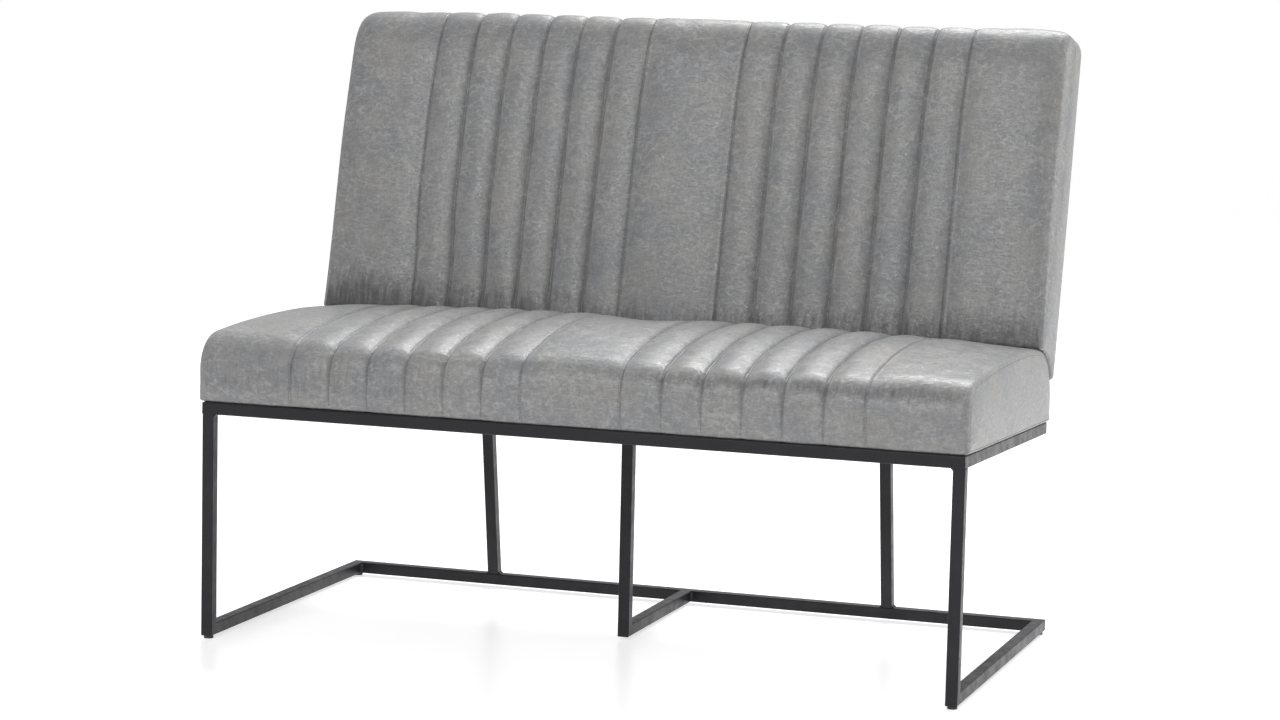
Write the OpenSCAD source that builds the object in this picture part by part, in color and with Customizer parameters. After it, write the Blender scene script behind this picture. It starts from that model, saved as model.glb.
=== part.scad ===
// Upholstered dining bench: a welded square-tube frame, a channelled seat
// cushion and a tall channelled back, all at real size in millimetres.
// The bench faces -Y. The origin is on the floor, under the middle of its box.

/* [Steel frame] */
// Width of the frame over its outer faces
frame_w = 1300; // [1100:10:1600]
// Depth of the seat frame along its side rails
seat_frame_d = 600; // [560:5:680]
// Depth of the floor frame
floor_frame_d = 650; // [630:5:760]
// Height of the front rail's top above the floor
frame_h = 400; // [340:5:450]
// Slope of the seat frame down to the rear in degrees
seat_tilt = 2.2; // [0:0.1:4]
// Outer size of the square tube
tube = 20; // [18:1:25]
// Wall of the square tube
tube_wall = 1.5; // [1:0.5:2.5]
// Outer corner radius of the tube
tube_r = 2; // [1:0.5:3]
// Distance from the frame's front face to the centre leg's front face
centre_leg_y = 287; // [200:1:380]
// Distance from the middle to each rear upright's centre
upright_x = 370; // [250:5:450]
// Leg length of the weld fillets
weld = 4; // [2:0.5:6]

/* [Feet and fixings] */
// Height of the glides under the frame's corners
glide_h = 5; // [3:0.5:10]
// Diameter of a glide
glide_d = 16; // [10:1:18]
// Distance from a frame corner to a glide's centre
glide_inset = 10; // [8:0.5:12]
// Size of the square fixing tabs in the seat frame
tab_size = 30; // [20:1:40]
// Thickness of the fixing tabs
tab_t = 4; // [3.5:0.5:6]
// Distance from the seat frame's front and rear to the tabs' centres
tab_inset = 150; // [60:5:220]
// Nominal thread diameter of the seat bolts
seat_bolt_d = 6; // [5:1:8]
// Nominal thread diameter of the back bolts
back_bolt_d = 8; // [6:1:10]
// Clearance of a bolt in its hole, on the diameter
bolt_clearance = 0.6; // [0.4:0.1:1]
// Length of the tee nuts in the seat board
seat_nut_len = 11; // [8:0.5:11.5]
// Length of the tee nuts in the back's timber
back_nut_len = 19; // [12:1:22]

/* [Seat] */
// Overhang of the upholstery beyond the frame at each end
overhang = 4; // [2:1:10]
// Height of the seat's seam line above the front rail
seat_t = 110; // [90:1:140]
// Radius of the seat's front top edge between the outer seams
seat_front_r = 48; // [25:1:60]
// Radius of the seat's front top edge at the end panels
seat_end_r = 40; // [20:1:60]
// Radius of the seat's rear top edge
seat_rear_r = 96; // [60:1:100]
// Rise of the seat's crown above its seam line, in the middle of the bench
seat_crown = 36; // [10:1:45]
// Rise of the seat's crown at the end panels
seat_end_crown = 8; // [0:1:20]
// Distance from the frame's front face to the highest line of the crown
crown_y = 300; // [240:5:340]
// Bulge of the seat's front face
seat_bulge = 5; // [0:1:10]
// Thickness of the plywood seat board
board_t = 15; // [12:1:21]
// Thickness of the padded cover over the foam
cover_t = 15; // [13:1:20]
// Gap between the frame and the upholstery
seat_gap = 1; // [0.5:0.5:2]
// Distance that the foam reaches past the board's front and ends
foam_lip = 4; // [3:0.5:8]
// Space between the foam and the back brackets
foam_rear_space = 6; // [4:0.5:10]
// Rounding of the seat cover's lower edges
hem_r = 6; // [3:0.5:8]
// Height of the front's fullest line above the frame
belly_h = 28; // [20:1:36]

/* [Back] */
// Lean of the back from upright in degrees
back_lean = 14.8; // [8:0.2:18]
// Height of the back's top above the floor
back_top_h = 1042; // [900:1:1100]
// Thickness of the front foam
back_foam_t = 46; // [30:1:60]
// Thickness of the padded cover in front of the foam
back_cover_t = 12; // [10:1:16]
// Thickness of the front panel under the foam
front_panel_t = 4; // [3:1:8]
// Thickness of the timber frame, front to rear
timber_t = 32; // [24:1:40]
// Width of the timber rails and stiles
timber_w = 40; // [30:1:60]
// Thickness of the steel back brackets
bracket_t = 6; // [4:1:8]
// Width of the steel back brackets
bracket_w = 40; // [30:1:60]
// Length of the brackets above the seat frame
bracket_len = 380; // [300:5:450]
// Depth of the space behind the brackets for the bolt heads
head_space = 6; // [5.5:0.5:10]
// Thickness of the rear panel
rear_panel_t = 3; // [3:0.5:6]
// Thickness of the padded cover behind the rear panel
rear_cover_t = 9; // [6:1:14]
// Thickness of the padded cover over the timber's top rail
top_cover_t = 22; // [20:1:30]
// Height of the lower back bolts above the bottom rail
back_bolt_rise = 50; // [30:5:80]
// Distance between the lower and upper back bolts
back_bolt_pitch = 120; // [80:5:140]
// Radius of the back's long top edges
back_edge_r = 30; // [15:1:40]
// Radius of the back's top corners seen from the front
back_corner_r = 30; // [20:1:45]
// Chamfer along the top of the back's foam
foam_chamfer = 14; // [8:1:20]

/* [Channels] */
// Width of one channel between two seams
channel_w = 67; // [50:1:75]
// Number of channels in each group
channels = 6; // [3:1:7]
// Half the width of the plain middle panel
middle_half = 86; // [60:1:110]
// Depth of a channel seam below the channel's crest
channel_depth = 7; // [3:0.5:9]
// Depth of the flat topstitched seams beside the plain panels
seam_depth = 3.5; // [1:0.5:5]
// Crown of a plain panel between its seams
panel_rise = 2.5; // [0:0.5:5]
// Bulge of the end panels of the seat and the back
end_bulge = 4; // [0:0.5:6]
// Radius of the edges between the end panels and the front
end_edge_r = 10; // [6:0.5:12]
// Distance from each end to the plain panels' outer seams
side_seam_inset = 14; // [12:1:20]

/* [Hidden] */
$fn = 32;

// Clearance between soft or loose pieces and their neighbours
fit = 0.4;
// Gap between the back's underside and the seat
foot_gap = 1.5;
// A cut reaches this far past the face that it opens
past = 5;
// Reach of the half-space blocks that trim the tubes
reach = 2 * frame_w;
half_w = frame_w / 2;
bore = tube - 2 * tube_wall;

// Colours as the photograph shows them
steel_black = "#2b2a2c";
leather_grey = "#8b8b89";
glide_grey = "#3a3a3a";
foam_cream = "#e8dfc0";
timber_tan = "#c9a878";
zinc = "#b9bcc0";
cloth_black = "#1c1c1d";

// Places on the seat frame, which slopes down to the rear
bend_y = (seat_frame_d - tube) * cos(seat_tilt);
bend_z = frame_h - (seat_frame_d - tube) * sin(seat_tilt);
function frame_top(y) = frame_h - y * tan(seat_tilt);

// Layers of the back, measured from its front face
panel_v = back_cover_t + back_foam_t;
timber_v = panel_v + front_panel_t;
bracket_v = timber_v + timber_t;
bracket_back_v = bracket_v + bracket_t;
rear_panel_v = bracket_back_v + head_space;
back_t = rear_panel_v + rear_panel_t + rear_cover_t;

// A point of the back's own plane, as depth v and height w, in the bench's Y and Z
function back_y(v, w) = bend_y + (v - bracket_back_v) * cos(back_lean) + w * sin(back_lean);
function back_z(v, w) = bend_z - (v - bracket_back_v) * sin(back_lean) + w * cos(back_lean);
// Height along the back of a point at depth v and height z above the floor
function back_w(v, z) = (z - bend_z + (v - bracket_back_v) * sin(back_lean)) / cos(back_lean);
// The highest point lies on the round front edge of the top
back_top_w = back_w(back_edge_r, back_top_h - back_edge_r) + back_edge_r;

// Half widths of the upholstery and of what is inside it
soft_half = half_w + overhang;
core_half = soft_half - cover_t;

// Shape of the seat cushion, seen from its end
seat_seam_z = frame_h + seat_t;
seat_rear_y = seat_frame_d + overhang;
rear_arc_y = seat_rear_y - seat_rear_r;
rear_arc_z = seat_seam_z - seat_rear_r;
front_arc_y = seat_front_r - seat_bulge;
front_arc_z = seat_seam_z - seat_front_r;
function seat_floor(y) = frame_top(y) + seat_gap;

// Where the seams lie: each group of channels starts beside the plain middle panel
group_w = channels * channel_w;
outer_seam = middle_half + group_w;
side_seam = soft_half - side_seam_inset;

// A place this close to a seam counts as on it
near_seam = 1;
// The sides of a channel fall to its seams by this power of the way from its crest
channel_power = 1.6;
// How far a place across the bench is pulled in by the seams: 0 on a crest
function pull(x) =
    let (a = abs(x), k = (a - middle_half) / channel_w, n = round(k), d = abs(k - n) * channel_w)
    a < middle_half - near_seam || a > outer_seam + near_seam ? 0
    : (n <= 0 || n >= channels) && d < near_seam ? seam_depth
    : channel_depth * pow(1 - 2 * d / channel_w, channel_power);
// Crown of a plain panel, highest in its middle
function panel_crown(x) =
    let (a = abs(x), plain = a < middle_half,
        s = plain ? a / middle_half : (a - outer_seam) / (side_seam - outer_seam))
    a > middle_half && a < outer_seam ? 0
    : panel_rise * (plain ? 1 - s * s : max(0, 1 - pow(2 * s - 1, 2)));
function puff(x) = panel_crown(x) - pull(x);

// Places across the bench where the cushions' outlines are set, from left to right:
// at and beside each seam of a plain panel, and three in each channel
beside_seam = 7;
channel_steps = [0, 0.3, 0.7];
half_places = concat(
    [0, middle_half / 2, middle_half - beside_seam],
    [for (i = [0:channels - 1], s = channel_steps) middle_half + (i + s) * channel_w],
    [outer_seam, outer_seam + beside_seam, (outer_seam + side_seam) / 2, side_seam]
);
across = concat([for (i = [len(half_places) - 1:-1:1]) -half_places[i]], half_places);

// The seat's crown: it falls from its highest line to the round front and rear edges by this
// power of the way, and flattens towards the end panels
crown_power = 2.3;
end_power = 4;
function crown_z(x) =
    seat_seam_z + seat_crown
    + (seat_end_crown - seat_crown) * pow(min(1, abs(x) / side_seam), end_power);
// Slope at which the crown meets a round edge whose centre is at depth y, in degrees
function edge_slope(x, y) = atan(crown_power * (crown_z(x) - seat_seam_z) / abs(y - crown_y));
// Height of the crown at depth y, where it meets its edge at depth edge_y and height edge_z
function dome_z(x, y, edge_y, edge_z) =
    edge_z + (crown_z(x) - edge_z) * (1 - pow(abs((y - crown_y) / (edge_y - crown_y)), crown_power));

// Outline of the seat from its end, with a tighter front edge towards the end panels:
// points of Y and Z, outward direction, share of the channels
function arc_points(y, z, r, from, to, steps, share) =
    [for (i = [0:steps]) let (a = from + (to - from) * i / steps)
        [y + r * cos(a), z + r * sin(a), cos(a), sin(a), share]];
// Points of the crown from an edge point on, at shares of the way to its highest line
function dome_points(x, edge, shares) =
    [for (s = shares) let (y = edge[0] + (crown_y - edge[0]) * s)
        [y, dome_z(x, y, edge[0], edge[1]), 0, 1, 1]];
function front_arc(x) =
    let (to_end = max(0, min(1, (abs(x) - outer_seam) / (side_seam - outer_seam))),
        r = seat_front_r + (seat_end_r - seat_front_r) * to_end)
    arc_points(r - seat_bulge, seat_seam_z - r, r, 180, 90 + edge_slope(x, front_arc_y), 4, 1);
function rear_arc(x) =
    arc_points(rear_arc_y, rear_arc_z, seat_rear_r, 90 - edge_slope(x, rear_arc_y), 0, 3, 0);
function seat_outline(x) =
    let (front = front_arc(x), rear = rear_arc(x))
    concat(
        [[hem_r, seat_floor(hem_r), -0.5, -0.8, 0],
         [0, seat_floor(0) + hem_r, -1, 0, 0.3],
         [-seat_bulge, seat_floor(0) + belly_h, -1, 0, 0.8]],
        front,
        dome_points(x, front[len(front) - 1], [0.2, 0.5, 1]),
        dome_points(x, rear[0], [0.5, 0.25]),
        rear,
        [[seat_rear_y, seat_floor(seat_rear_y) + hem_r, 1, 0, 0],
         [seat_rear_y - hem_r, seat_floor(seat_rear_y - hem_r), 0.5, -0.8, 0]],
        [for (s = [2, 1]) let (y = seat_frame_d * s / 3) [y, seat_floor(y), 0, -1, 0]]
    );

// Height of the seat behind its highest line, at place x and depth y
function seat_rear_z(x, y) =
    let (edge = rear_arc(x)[0])
    y < edge[0] ? dome_z(x, y, edge[0], edge[1])
    : rear_arc_z + sqrt(max(0, seat_rear_r * seat_rear_r - pow(y - rear_arc_y, 2)));
// Lowest height along the back, at place x and depth v, that clears the seat
function back_foot(x, v, w = 100, tries = 12) =
    tries == 0 ? w
    : let (z = seat_rear_z(x, min(back_y(v, w), seat_rear_y - hem_r)) + foot_gap)
        back_foot(x, v, (w + back_w(v, z)) / 2, tries - 1);

// The back's top drops towards its rounded corners
function corner_drop(x) =
    let (d = max(0, abs(x) - (soft_half - back_corner_r)))
    back_corner_r - sqrt(max(0, back_corner_r * back_corner_r - d * d));

// Outline of the back from its end, as depth v and height w of the back's plane
tuck = 3;
edge_w = back_top_w - back_edge_r;
function back_outline(x) =
    let (top_w = edge_w - corner_drop(x), front_low = back_foot(x, 0), rear_low = back_foot(x, back_t))
    concat(
        [for (s = [0, 0.08, 0.35, 0.65, 0.9])
            [s == 0 ? tuck : 0, front_low + (top_w - front_low) * s, -1, 0, s == 0 ? 0.3 : 1]],
        arc_points(back_edge_r, top_w, back_edge_r, 180, 90, 3, 1),
        arc_points(back_t - back_edge_r, top_w, back_edge_r, 90, 0, 3, 0.35),
        [for (s = [0.5, 0]) [back_t, rear_low + (top_w - rear_low) * s, 1, 0, 0]],
        [for (v = [0.88, 0.66, 0.44, 0.22]) [v * back_t, back_foot(x, v * back_t), 0, -1, 0]]
    );

// One ring of a cushion at place x, moved out by the channels or drawn in by an amount
function ring(outline, x, inward) =
    [for (p = outline(x)) let (m = puff(x) * p[4] - inward) [x, p[0] + p[2] * m, p[1] + p[3] * m]];
function shrunk(points, s) =
    let (n = len(points), cy = sum_of(points, 1) / n, cz = sum_of(points, 2) / n)
    [for (p = points) [p[0], cy + (p[1] - cy) * s, cz + (p[2] - cz) * s]];
function sum_of(points, axis) = [for (p = points) 1] * [for (p = points) p[axis]];
function at_x(points, x) = [for (p = points) [x, p[1], p[2]]];

// The end panels: a rounded edge up to the seam, then the panel's own domed bulge,
// with rings at these angles of the edge and at these shares of the panel
edge_angles = [35, 65];
panel_shares = [0.85, 0.4];
function panel_bulge(s) = end_bulge * sqrt(1 - s * s);
function end_rings(outline, side) =
    let (seam = ring(outline, side * soft_half, end_edge_r))
    concat(
        [for (t = edge_angles)
            let (x = soft_half - end_edge_r * (1 - sin(t)))
            ring(outline, side * x, end_edge_r * (1 - cos(t)))],
        [seam],
        [for (s = panel_shares) at_x(shrunk(seam, s), side * (soft_half + panel_bulge(s)))]
    );
function flipped(list) = [for (i = [len(list) - 1:-1:0]) list[i]];
function cushion_rings(outline) = concat(
    flipped(end_rings(outline, -1)),
    [for (x = across) ring(outline, x, 0)],
    end_rings(outline, 1)
);

// Closed skin through the rings, with a fan at each end
function skin_points(rings) =
    let (m = len(rings[0]))
    concat([for (r = rings) each r],
        [for (side = [-1, 1])
            let (r = side < 0 ? rings[0] : rings[len(rings) - 1])
            [side * (soft_half + end_bulge), sum_of(r, 1) / m, sum_of(r, 2) / m]]);
function skin_faces(n, m) = concat(
    [for (i = [0:n - 2], j = [0:m - 1])
        let (a = i * m + j, b = i * m + (j + 1) % m, c = a + m, d = b + m)
        each [[a, c, b], [b, c, d]]],
    [for (j = [0:m - 1]) [n * m, j, (j + 1) % m]],
    [for (j = [0:m - 1]) [n * m + 1, (n - 1) * m + (j + 1) % m, (n - 1) * m + j]]
);
module cushion(rings)
    polyhedron(points = skin_points(rings), faces = skin_faces(len(rings), len(rings[0])));

seat_rings = cushion_rings(function(x) seat_outline(x));
back_flat_rings = cushion_rings(function(x) back_outline(x));
// The back's rings in the bench's own directions
back_rings = [for (r = back_flat_rings) [for (p = r) [p[0], back_y(p[1], p[2]), back_z(p[1], p[2])]]];

// The box of the bench, for the origin under its middle
box_front = min([for (r = seat_rings) each [for (p = r) p[1]]]);
box_rear = max([for (r = back_rings) each [for (p = r) p[1]]]);
mid_y = (box_front + box_rear) / 2;

module placed() translate([0, -mid_y, 0]) children();
module seat_plane() placed() translate([0, 0, frame_h]) rotate([-seat_tilt, 0, 0]) children();
module back_plane()
    placed() translate([0, bend_y, bend_z]) rotate([-back_lean, 0, 0])
        translate([0, -bracket_back_v, 0]) children();

// Square tube along Z, centred on its axis, with rounded outer corners
module tube_section(size, r) {
    square([size, size - 2 * r], center = true);
    square([size - 2 * r, size], center = true);
    for (i = [-1, 1], j = [-1, 1]) translate([i, j] * (size / 2 - r)) circle(r);
}
module tube_z(length)
    linear_extrude(length) difference() {
        tube_section(tube, tube_r);
        square(bore, center = true);
    }
module tube_x(length) rotate([90, 0, 90]) translate([0, 0, -length / 2]) tube_z(length);
module tube_y(length) rotate([-90, 0, 0]) tube_z(length);

// A block that removes all on one side of a 45 degree cut through the origin
module mitre_block(turn) rotate(turn) translate([-reach / 2, 0, -reach / 2]) cube(reach);

// Seat frame, a mitred ring in the sloping plane
module front_or_rear_rail(y, rear) seat_plane() difference() {
    translate([0, y, -tube / 2]) tube_x(frame_w);
    for (s = [-1, 1])
        translate([s * (half_w - tube / 2), y, 0])
            mitre_block([0, 0, rear ? -s * 135 : -s * 45]);
}
module seat_front_rail() color(steel_black) front_or_rear_rail(tube / 2, false);
module seat_rear_rail() color(steel_black) front_or_rear_rail(seat_frame_d - tube / 2, true);
module side_rail(s) seat_plane() difference() {
    translate([s * (half_w - tube / 2), 0, -tube / 2]) tube_y(seat_frame_d);
    translate([s * (half_w - tube / 2), tube / 2, 0]) mitre_block([0, 0, 180 - s * 45]);
    translate([s * (half_w - tube / 2), seat_frame_d - tube / 2, 0]) mitre_block([0, 0, s * 45]);
}
module seat_side_rail_left() color(steel_black) side_rail(-1);
module seat_side_rail_right() color(steel_black) side_rail(1);
module seat_centre_rail() color(steel_black) seat_plane()
    translate([0, tube, -tube / 2]) tube_y(seat_frame_d - 2 * tube);

// Everything above the underside of the seat frame
module above_seat_frame()
    translate([0, 0, frame_h]) rotate([-seat_tilt, 0, 0])
        translate([-reach / 2, -reach / 2, -tube]) cube(reach);

// Legs stand on the floor frame's corners with a mitre seen from the side
module leg(x, y) placed() difference() {
    translate([x, y + tube / 2, glide_h]) tube_z(frame_h);
    translate([x, y + tube / 2, glide_h + tube / 2]) mitre_block([-45, 0, 0]);
    above_seat_frame();
}
module front_leg_left() color(steel_black) leg(-half_w + tube / 2, 0);
module front_leg_right() color(steel_black) leg(half_w - tube / 2, 0);
module centre_leg() color(steel_black) leg(0, centre_leg_y);

module floor_runner(s) placed() difference() {
    translate([s * (half_w - tube / 2), 0, glide_h + tube / 2]) tube_y(floor_frame_d);
    translate([s * (half_w - tube / 2), tube / 2, glide_h + tube / 2]) mitre_block([135, 0, 0]);
    translate([s * (half_w - tube / 2), floor_frame_d - tube / 2, 0]) mitre_block([0, 0, s * 45]);
}
module floor_runner_left() color(steel_black) floor_runner(-1);
module floor_runner_right() color(steel_black) floor_runner(1);
module floor_centre_runner() color(steel_black) placed() difference() {
    translate([0, centre_leg_y, glide_h + tube / 2]) tube_y(floor_frame_d - tube - centre_leg_y);
    translate([0, centre_leg_y + tube / 2, glide_h + tube / 2]) mitre_block([135, 0, 0]);
}
module floor_rear_rail() color(steel_black) placed() difference() {
    translate([0, floor_frame_d - tube / 2, glide_h + tube / 2]) tube_x(frame_w);
    for (s = [-1, 1])
        translate([s * (half_w - tube / 2), floor_frame_d - tube / 2, 0]) mitre_block([0, 0, -s * 135]);
}

// Rear uprights lean forward from the floor frame to the seat frame's rear rail
foot_y = floor_frame_d - tube / 2;
head_y = (seat_frame_d - tube / 2) * cos(seat_tilt) - tube * sin(seat_tilt);
foot_z = glide_h + tube;
head_z = frame_top(seat_frame_d) - tube;
upright_lean = atan((foot_y - head_y) / (head_z - foot_z));
module rear_upright(s) placed() difference() {
    translate([s * upright_x, foot_y, foot_z]) rotate([upright_lean, 0, 0])
        translate([0, 0, -tube]) tube_z(frame_h);
    translate([-reach / 2, -reach / 2, foot_z - reach]) cube(reach);
    above_seat_frame();
}
module rear_upright_left() color(steel_black) rear_upright(-1);
module rear_upright_right() color(steel_black) rear_upright(1);

// Weld fillets: three-sided beads in the corners between two tubes, short of the tubes' edges
bead_end = 1.25 * tube_r;
bead_len = tube - 2 * bead_end;
function frame_under(y) = frame_top(y) - tube / cos(seat_tilt);
module bead(points, length) linear_extrude(length) polygon(points);
// Upright bead in the corner at x, y that fills towards the signs sx, sy
module corner_bead(x, y, sx, sy, z)
    translate([x, y, z]) bead([[0, 0], [sx * weld, 0], [0, sy * weld]], bead_len);
// Bead along Y between a face across X and a face above or below it
module side_bead(x, y, z, sx, sz)
    translate([x, y + bead_len, z]) rotate([90, 0, 0])
        bead([[0, 0], [sx * weld, 0], [0, sz * weld]], bead_len);
// Bead along X from three points of Y and Z
module cross_bead(x, points)
    translate([x - bead_len / 2, 0, 0]) rotate([90, 0, 90]) bead(points, bead_len);
module seat_frame_beads() seat_plane() for (s = [-1, 1]) {
    for (end = [[tube, 1], [seat_frame_d - tube, -1]]) {
        corner_bead(s * (half_w - tube), end[0], -s, end[1], -tube + bead_end);
        corner_bead(s * tube / 2, end[0], s, end[1], -tube + bead_end);
    }
    side_bead(s * (half_w - tube), bead_end, -tube, -s, -1);
    for (t = [-1, 1])
        side_bead(s * upright_x + t * tube / 2, seat_frame_d - tube + bead_end, -tube, t, -1);
}
module floor_frame_beads() placed() {
    top = glide_h + tube;
    for (s = [-1, 1]) {
        corner_bead(s * (half_w - tube), floor_frame_d - tube, -s, -1, glide_h + bead_end);
        corner_bead(s * tube / 2, floor_frame_d - tube, s, -1, glide_h + bead_end);
        cross_bead(s * (half_w - tube / 2), [[tube, top], [tube + weld, top], [tube, top + weld]]);
        for (t = [-1, 1])
            side_bead(s * upright_x + t * tube / 2, floor_frame_d - tube + bead_end, top, t, 1);
    }
    rear = centre_leg_y + tube;
    cross_bead(0, [[rear, top], [rear + weld, top], [rear, top + weld]]);
    for (end = [[centre_leg_y, -1], [rear, 1]])
        let (y = end[0], far = end[0] + end[1] * weld)
            cross_bead(0, [[y, frame_under(y)], [y, frame_under(y) - weld], [far, frame_under(far)]]);
}
module weld_fillets() color(steel_black) {
    seat_frame_beads();
    floor_frame_beads();
}

// Glides under the four outer corners
module foot_glides() color(glide_grey) placed()
    for (x = [-1, 1] * (half_w - glide_inset), y = [glide_inset, floor_frame_d - glide_inset])
        translate([x, y, 0]) cylinder(h = glide_h, d = glide_d);

// Middles of the seat's fixing tabs, across and along the seat frame
tab_places = [
    for (s = [-1, 1]) each [
        [s * (half_w - tube - tab_size / 2), tab_inset],
        [s * (half_w - tube - tab_size / 2), seat_frame_d - tab_inset],
        [s * (tube + tab_size) / 2, seat_frame_d / 2]
    ]
];
function hole_d(d) = d + bolt_clearance;
nut_flange_t = 1.5;
nut_wall = 1.2;
function nut_d(d) = hole_d(d) + 2 * nut_wall;
function flange_d(d) = 2.6 * d;
board_top = seat_gap + board_t;
module at_tabs() seat_plane() for (p = tab_places) translate([p[0], p[1], 0]) children();
module seat_fixing_tabs() color(steel_black) at_tabs() difference() {
    translate([-tab_size / 2, -tab_size / 2, -tab_t]) cube([tab_size, tab_size, tab_t]);
    translate([0, 0, -tab_t - past]) cylinder(h = tab_t + 2 * past, d = hole_d(seat_bolt_d));
}
// Button-head bolt up along Z: the head's inner face is at zero, its sizes follow the thread
head_rise = 0.55;
head_top = 1.4;
head_wide = 1.9;
socket_wide = 0.6;
module button_bolt(d, length) {
    difference() {
        translate([0, 0, -head_rise * d])
            cylinder(h = head_rise * d, d1 = head_top * d, d2 = head_wide * d);
        translate([0, 0, -head_rise * d - past])
            cylinder(h = past + head_rise * d / 2, d = socket_wide * d, $fn = 6);
    }
    cylinder(h = length, d = d);
}
module seat_bolts() color(zinc) at_tabs() translate([0, 0, -tab_t])
    button_bolt(seat_bolt_d, tab_t + board_top - 2 * nut_flange_t);
// Tee nut that hangs down from its flange, whose top is at zero
module tee_nut(d, length) difference() {
    union() {
        translate([0, 0, -nut_flange_t]) cylinder(h = nut_flange_t, d = flange_d(d));
        translate([0, 0, -length]) cylinder(h = length, d = nut_d(d));
    }
    translate([0, 0, -length - past]) cylinder(h = length + 2 * past, d = hole_d(d));
}
// Hole and recess that a tee nut sits in
module tee_nut_seat(d, depth) {
    translate([0, 0, -depth - past]) cylinder(h = depth + 2 * past, d = nut_d(d) + fit);
    translate([0, 0, -nut_flange_t]) cylinder(h = nut_flange_t + past, d = flange_d(d) + fit);
}
module seat_tee_nuts() color(zinc) at_tabs()
    translate([0, 0, board_top]) tee_nut(seat_bolt_d, seat_nut_len);

// Flat-bar brackets: welded to the rear rail's front face, then leaning with the back
module bracket_bar(s, grow) {
    wide = bracket_w + 2 * grow;
    seat_plane() translate([s * upright_x - wide / 2, seat_frame_d - tube - bracket_t - grow, -tube - grow])
        cube([wide, bracket_t + grow, tube + grow]);
    back_plane() translate([s * upright_x - wide / 2, bracket_v - grow, -bracket_t])
        cube([wide, bracket_t + 2 * grow, bracket_len + bracket_t + grow]);
}
core_low = back_foot(0, 0) + back_cover_t;
core_high = back_top_w - top_cover_t;
lower_bolt_w = core_low + timber_w + back_bolt_rise;
back_bolt_places = [lower_bolt_w, lower_bolt_w + back_bolt_pitch];
// Children drawn up along Z are laid forward through a bracket, from its rear face
module at_back_bolts(s) back_plane() for (w = back_bolt_places)
    translate([s * upright_x, bracket_back_v, w]) rotate([90, 0, 0]) children();
module back_bracket(s) color(steel_black) difference() {
    bracket_bar(s, 0);
    at_back_bolts(s) translate([0, 0, -past]) cylinder(h = bracket_t + 2 * past, d = hole_d(back_bolt_d));
}
module back_bracket_left() back_bracket(-1);
module back_bracket_right() back_bracket(1);
module back_bolts() color(zinc) for (s = [-1, 1]) at_back_bolts(s)
    button_bolt(back_bolt_d, bracket_t + timber_t - 2 * nut_flange_t);
module back_tee_nuts() color(zinc) for (s = [-1, 1]) at_back_bolts(s)
    translate([0, 0, bracket_t + timber_t]) tee_nut(back_bolt_d, back_nut_len);

// Seat: dust cover and board in the plane of the frame
board_inset = cover_t - seat_bulge + foam_lip;
board_half = core_half - foam_lip;
module seat_sheet(half, inset, low, high) difference() {
    seat_plane() translate([-half, inset, low]) cube([2 * half, seat_frame_d - 2 * inset, high - low]);
    for (s = [-1, 1]) bracket_bar(s, fit);
}
module dust_cover() color(cloth_black) difference() {
    seat_sheet(half_w - tube_r, tube_r, 0, seat_gap);
    at_tabs() translate([0, 0, -past]) cylinder(h = 2 * past, d = nut_d(seat_bolt_d) + fit);
}
module seat_board() color(timber_tan) difference() {
    seat_sheet(board_half, board_inset, seat_gap, board_top);
    at_tabs() translate([0, 0, board_top]) tee_nut_seat(seat_bolt_d, board_t);
}

// Seat foam: its outline lies inside the cushion's by the thickness of the padded cover
function above_frame(y, h) = frame_top(y) + h / cos(seat_tilt);
foam_rear_y = bend_y - bracket_t - foam_rear_space;
function foam_profile(grow) =
    let (front_r = seat_front_r - cover_t + grow, rear_r = seat_rear_r - cover_t + grow,
        front_y = front_arc_y - front_r, rear_y = foam_rear_y + grow,
        arcs = concat(
            arc_points(front_arc_y, front_arc_z, front_r, 180, 90, 6, 0),
            arc_points(rear_arc_y, rear_arc_z, rear_r, 90, acos((rear_y - rear_arc_y) / rear_r), 6, 0)))
    concat([[front_y, above_frame(front_y, board_top)]], [for (p = arcs) [p[0], p[1]]],
        [[rear_y, above_frame(rear_y, board_top)]]);
module along_x(half)
    placed() translate([-half, 0, 0]) rotate([90, 0, 90]) linear_extrude(2 * half) children();
module seat_foam() color(foam_cream) along_x(core_half) polygon(foam_profile(0));
module seat_cover() color(leather_grey) difference() {
    placed() cushion(seat_rings);
    along_x(core_half + fit) polygon(foam_profile(fit));
    seat_plane() translate([-board_half - fit, board_inset - fit, -past])
        cube([2 * (board_half + fit), seat_frame_d - 2 * (board_inset - fit), board_top + past + fit]);
    for (s = [-1, 1]) bracket_bar(s, fit);
}

// Back: a timber frame, its panels and foam, all inside the padded cover
outer_timber_t = rear_panel_v - timber_v;
module timber(x, wide, w0, w1, deep) back_plane()
    translate([x - wide / 2, timber_v, w0]) cube([wide, deep, w1 - w0]);
module back_top_rail() color(timber_tan)
    timber(0, 2 * core_half, core_high - timber_w, core_high, outer_timber_t);
module back_bottom_rail() color(timber_tan) difference() {
    timber(0, 2 * core_half, core_low, core_low + timber_w, outer_timber_t);
    for (s = [-1, 1]) bracket_bar(s, fit);
}
module stile(x, deep) timber(x, timber_w, core_low + timber_w, core_high - timber_w, deep);
module back_side_stile_left() color(timber_tan) stile(-core_half + timber_w / 2, outer_timber_t);
module back_side_stile_right() color(timber_tan) stile(core_half - timber_w / 2, outer_timber_t);
module back_middle_stile() color(timber_tan) stile(0, outer_timber_t);
module inner_stile(s) color(timber_tan) difference() {
    stile(s * upright_x, timber_t);
    at_back_bolts(s) translate([0, 0, bracket_t + timber_t]) tee_nut_seat(back_bolt_d, timber_t);
}
module back_inner_stile_left() inner_stile(-1);
module back_inner_stile_right() inner_stile(1);
module back_sheet(v, thick) back_plane()
    translate([-core_half, v, core_low]) cube([2 * core_half, thick, core_high - core_low]);
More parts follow.
